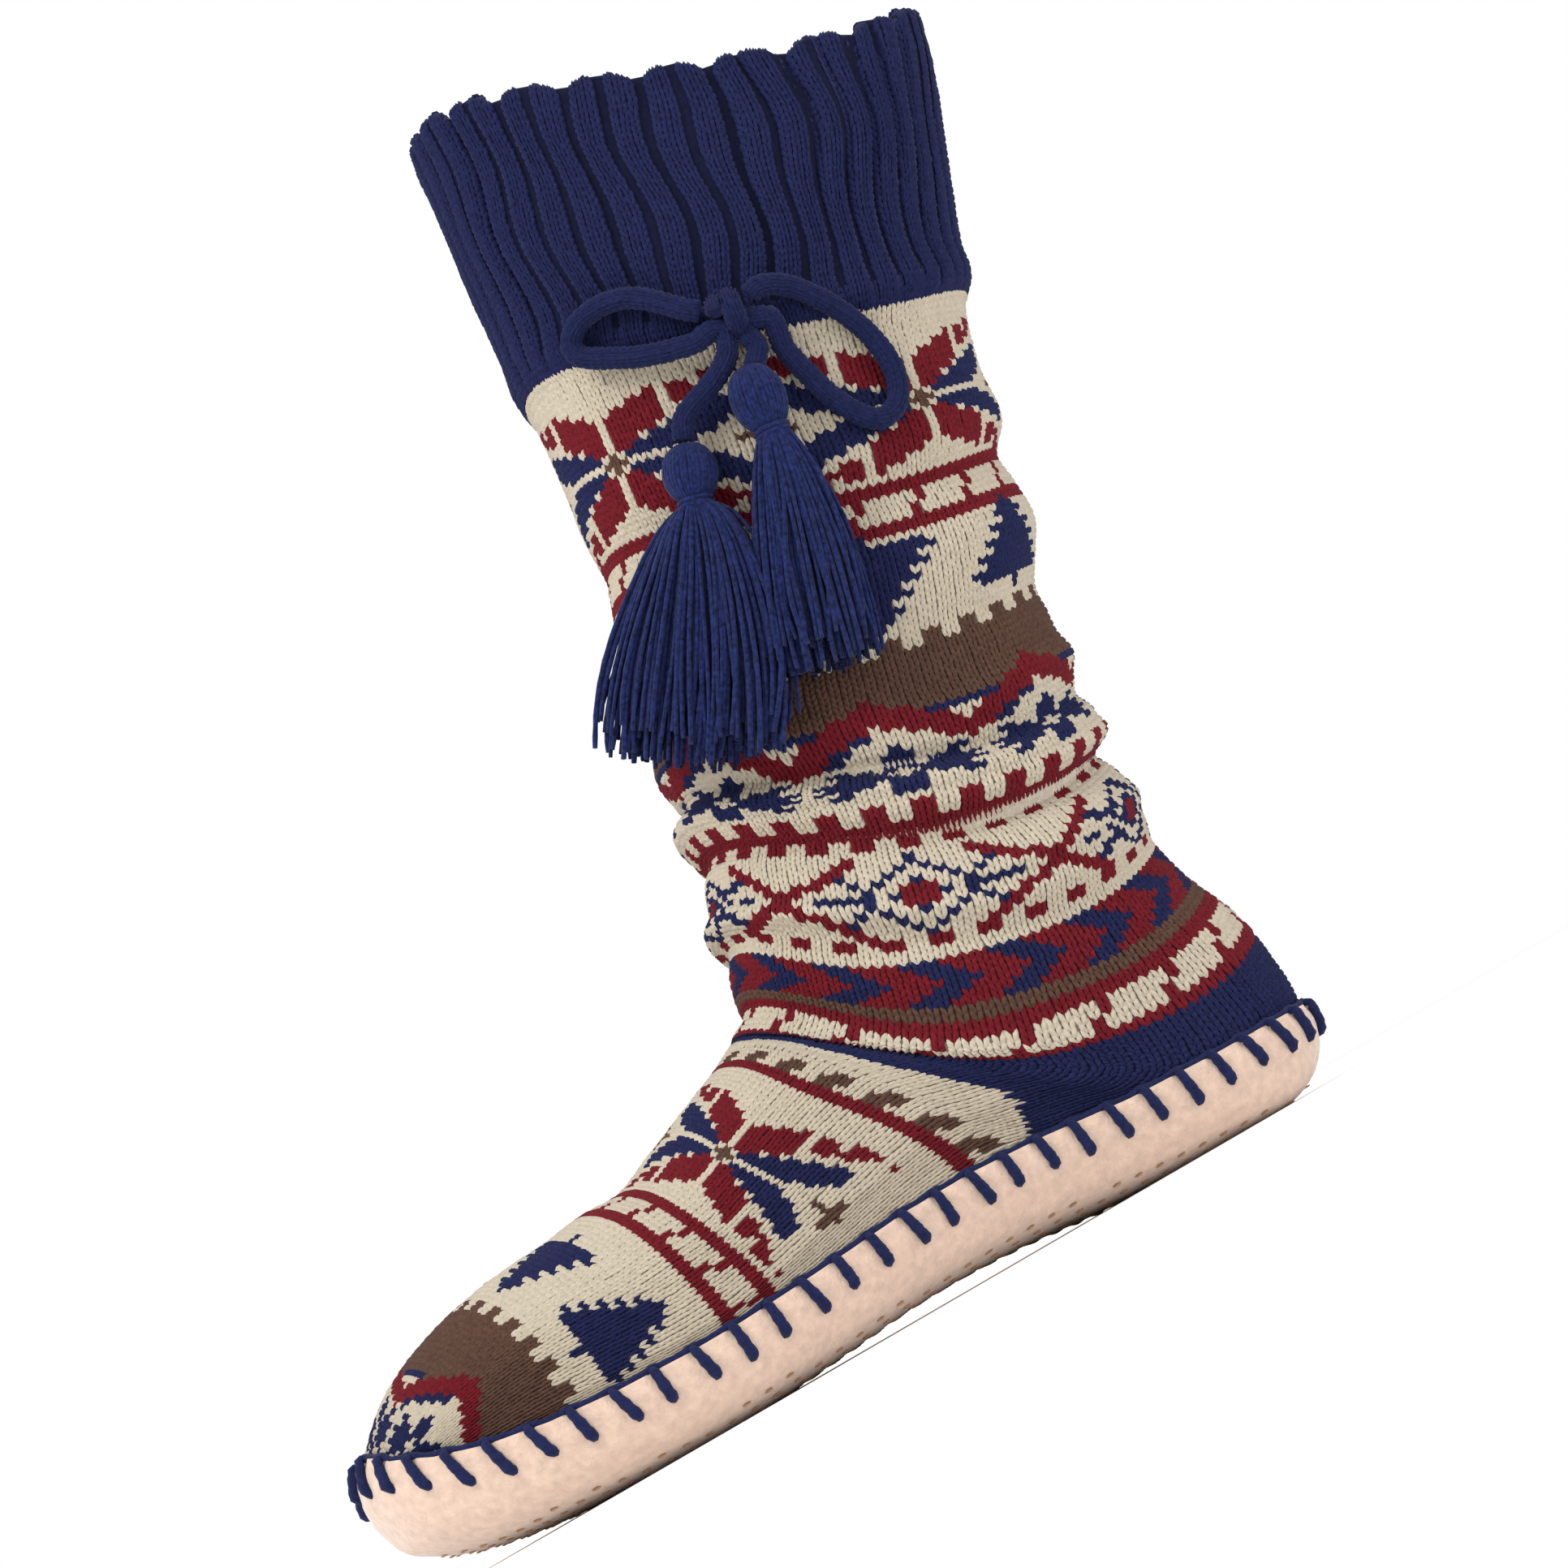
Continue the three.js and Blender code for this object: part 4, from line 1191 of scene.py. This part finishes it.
def tassel_head(pile, head, head_long, across, out, down, own):
    """Yarn wrapped over a round core, and three turns of yarn round the neck."""
    for k in range(HEAD_YARNS):
        turn = math.tau * (k + own.uniform(-0.2, 0.2)) / HEAD_YARNS
        path = []
        for t in np.linspace(0.06, 0.97, 11):
            r = math.sin(math.pi * t) ** 0.8
            spin = turn + 0.25 * t
            path.append(head + HEAD_RADIUS * r * (across * math.cos(spin) + 0.92 * out * math.sin(spin))
                        - down * head_long * math.cos(math.pi * t))
        thin = np.sin(np.linspace(0.5, 2.6, 11)) ** 0.5
        yarn_tube(pile, path, HEAD_YARN_RADIUS * thin, 6)
    core = [head + down * head_long * 0.96 * t for t in np.linspace(-1, 1, 9)]
    round_ends = np.sqrt(np.clip(1 - np.linspace(-0.98, 0.98, 9) ** 2, 0.02, 1))
    yarn_tube(pile, core, HEAD_RADIUS * 0.90 * round_ends, 16, 0)
    neck = head + down * (head_long + 0.6)
    for drop in (-0.9, 0.4, 1.7):
        ring = [
            neck + down * (drop + 0.1 * t)
            + NECK_RADIUS * (across * math.cos(t) + 0.9 * out * math.sin(t))
            for t in np.linspace(0, math.tau, 25)
        ]
        yarn_tube(pile, ring, NECK_YARN_RADIUS, 6)
    return neck


def make_tassel(name, head, end, off, head_long, width, lean, length, seed):
    """A bound head of wrapped yarn, a neck, and a skirt of many loose strands."""
    own = np.random.default_rng(seed)
    head = np.asarray(head, dtype=float)
    across, out, down = tassel_frame(head, end, off)
    pile = Pile()
    neck = tassel_head(pile, head, head_long, across, out, down, own)
    for k in range(STRANDS):
        share = math.sqrt((k + 0.5) / STRANDS)
        turn = GOLDEN_TURN * k
        spread = width * share * own.uniform(0.88, 1.04)
        aside = math.cos(turn) * spread + lean
        long = math.sqrt((length * own.uniform(0.90, 1.05)) ** 2 - aside**2)
        sway = own.normal(0, 1.3, 3)
        start = neck + 3.2 * share * (across * math.cos(turn) + out * math.sin(turn))
        path = []
        for t in np.linspace(0, 1, 12):
            flare = 0.28 + 0.72 * math.sin(0.5 * math.pi * min(1.0, t * 1.05)) ** 0.9
            wave = np.sin(math.pi * (1.3 * t + sway[2])) * sway[0] * t
            deep = SKIRT_DEPTH * share * (0.5 + 0.5 * flare)
            place = (neck + down * (long * t)
                     + across * (math.cos(turn) * spread * flare + wave + lean * t**1.3)
                     + out * (math.sin(turn) * deep + 0.5 * sway[1] * t))
            blend = min(1.0, t / 0.12)
            path.append(start * (1 - blend) + place * blend)
        yarn_tube(pile, smooth_path(path, 2.6), own.uniform(0.5, 0.68), 5, 1.3)
    return pile.make(name, [TASSEL_YARN])


tassel_left = make_tassel(
    "tassel_left_yarn", (50.6, 42.8, 200.6), (69.4, 40.0, 145.0), (0.62, 0.78, 0.16),
    head_long=7.0, width=26.0, lean=-12.0, length=61.0, seed=3,
)
tassel_right = make_tassel(
    "tassel_right_yarn", (30.4, 53.8, 207.6), (38.6, 54.6, 149.0), (0.33, 0.94, 0.0),
    head_long=8.2, width=14.5, lean=-9.0, length=57.0, seed=4,
)
finish_piece(tassel_left, "tassel", "tassel_left")
finish_piece(tassel_right, "tassel", "tassel_right")

cord_left, left_path, left_length = knitted_cord("drawstring_left", LEFT_ROUTE)
cord_right, right_path, right_length = knitted_cord("drawstring_right", RIGHT_ROUTE)
finish_piece(cord_left, "cord", "loop_left", "end_left")
finish_piece(cord_right, "cord", "loop_right")


def make_knot():
    """Turns of the cord wrapped over each other."""
    path = []
    for t in np.linspace(0, 1, 30):
        turn = math.tau * 1.15 * t + 0.4
        path.append(KNOT + KNOT_ACROSS * (2.2 - 4.4 * t)
                    + 3.9 * (KNOT_OFF * math.cos(turn) + np.array([0, 0, 1.0]) * math.sin(turn)))
    obj, _, _ = knitted_cord("bow_knot", path)
    return finish_piece(obj, "cord", "knot")


make_knot()


# Floor and light. Each light has a name, place, target, size and power
LIGHTS = [
    ("key", (1.3, 1.0, 1.5), (0.05, 0, 0.15), 0.9, 20),
    ("fill", (-1.0, 1.5, 0.8), (0.05, 0, 0.12), 1.2, 4),
    ("back", (-0.6, -1.4, 1.2), (0.05, 0, 0.15), 1.0, 8),
]


def make_stage():
    bpy.context.scene.view_settings.view_transform = "Standard"
    bpy.ops.mesh.primitive_plane_add(size=8.0, location=(0, 0, 0))
    floor = bpy.context.object
    floor.name = "floor"
    paper = bpy.data.materials.new("floor_paper")
    paper.use_nodes = True
    shader = paper.node_tree.nodes["Principled BSDF"]
    set_values(shader, {"Base Color": (0.96, 0.96, 0.96, 1), "Roughness": 0.9})
    floor.data.materials.append(paper)
    world = bpy.data.worlds.new("world")
    world.use_nodes = True
    set_values(world.node_tree.nodes["Background"], {"Color": (1, 1, 1, 1), "Strength": 1.0})
    bpy.context.scene.world = world
    for name, place, aim, size, power in LIGHTS:
        light = linked(name, bpy.data.lights.new(name, "AREA"))
        light.data.size = size
        light.data.energy = power
        light.location = place
        direction = Vector(aim) - Vector(place)
        light.rotation_euler = direction.to_track_quat("-Z", "Y").to_euler()


make_stage()
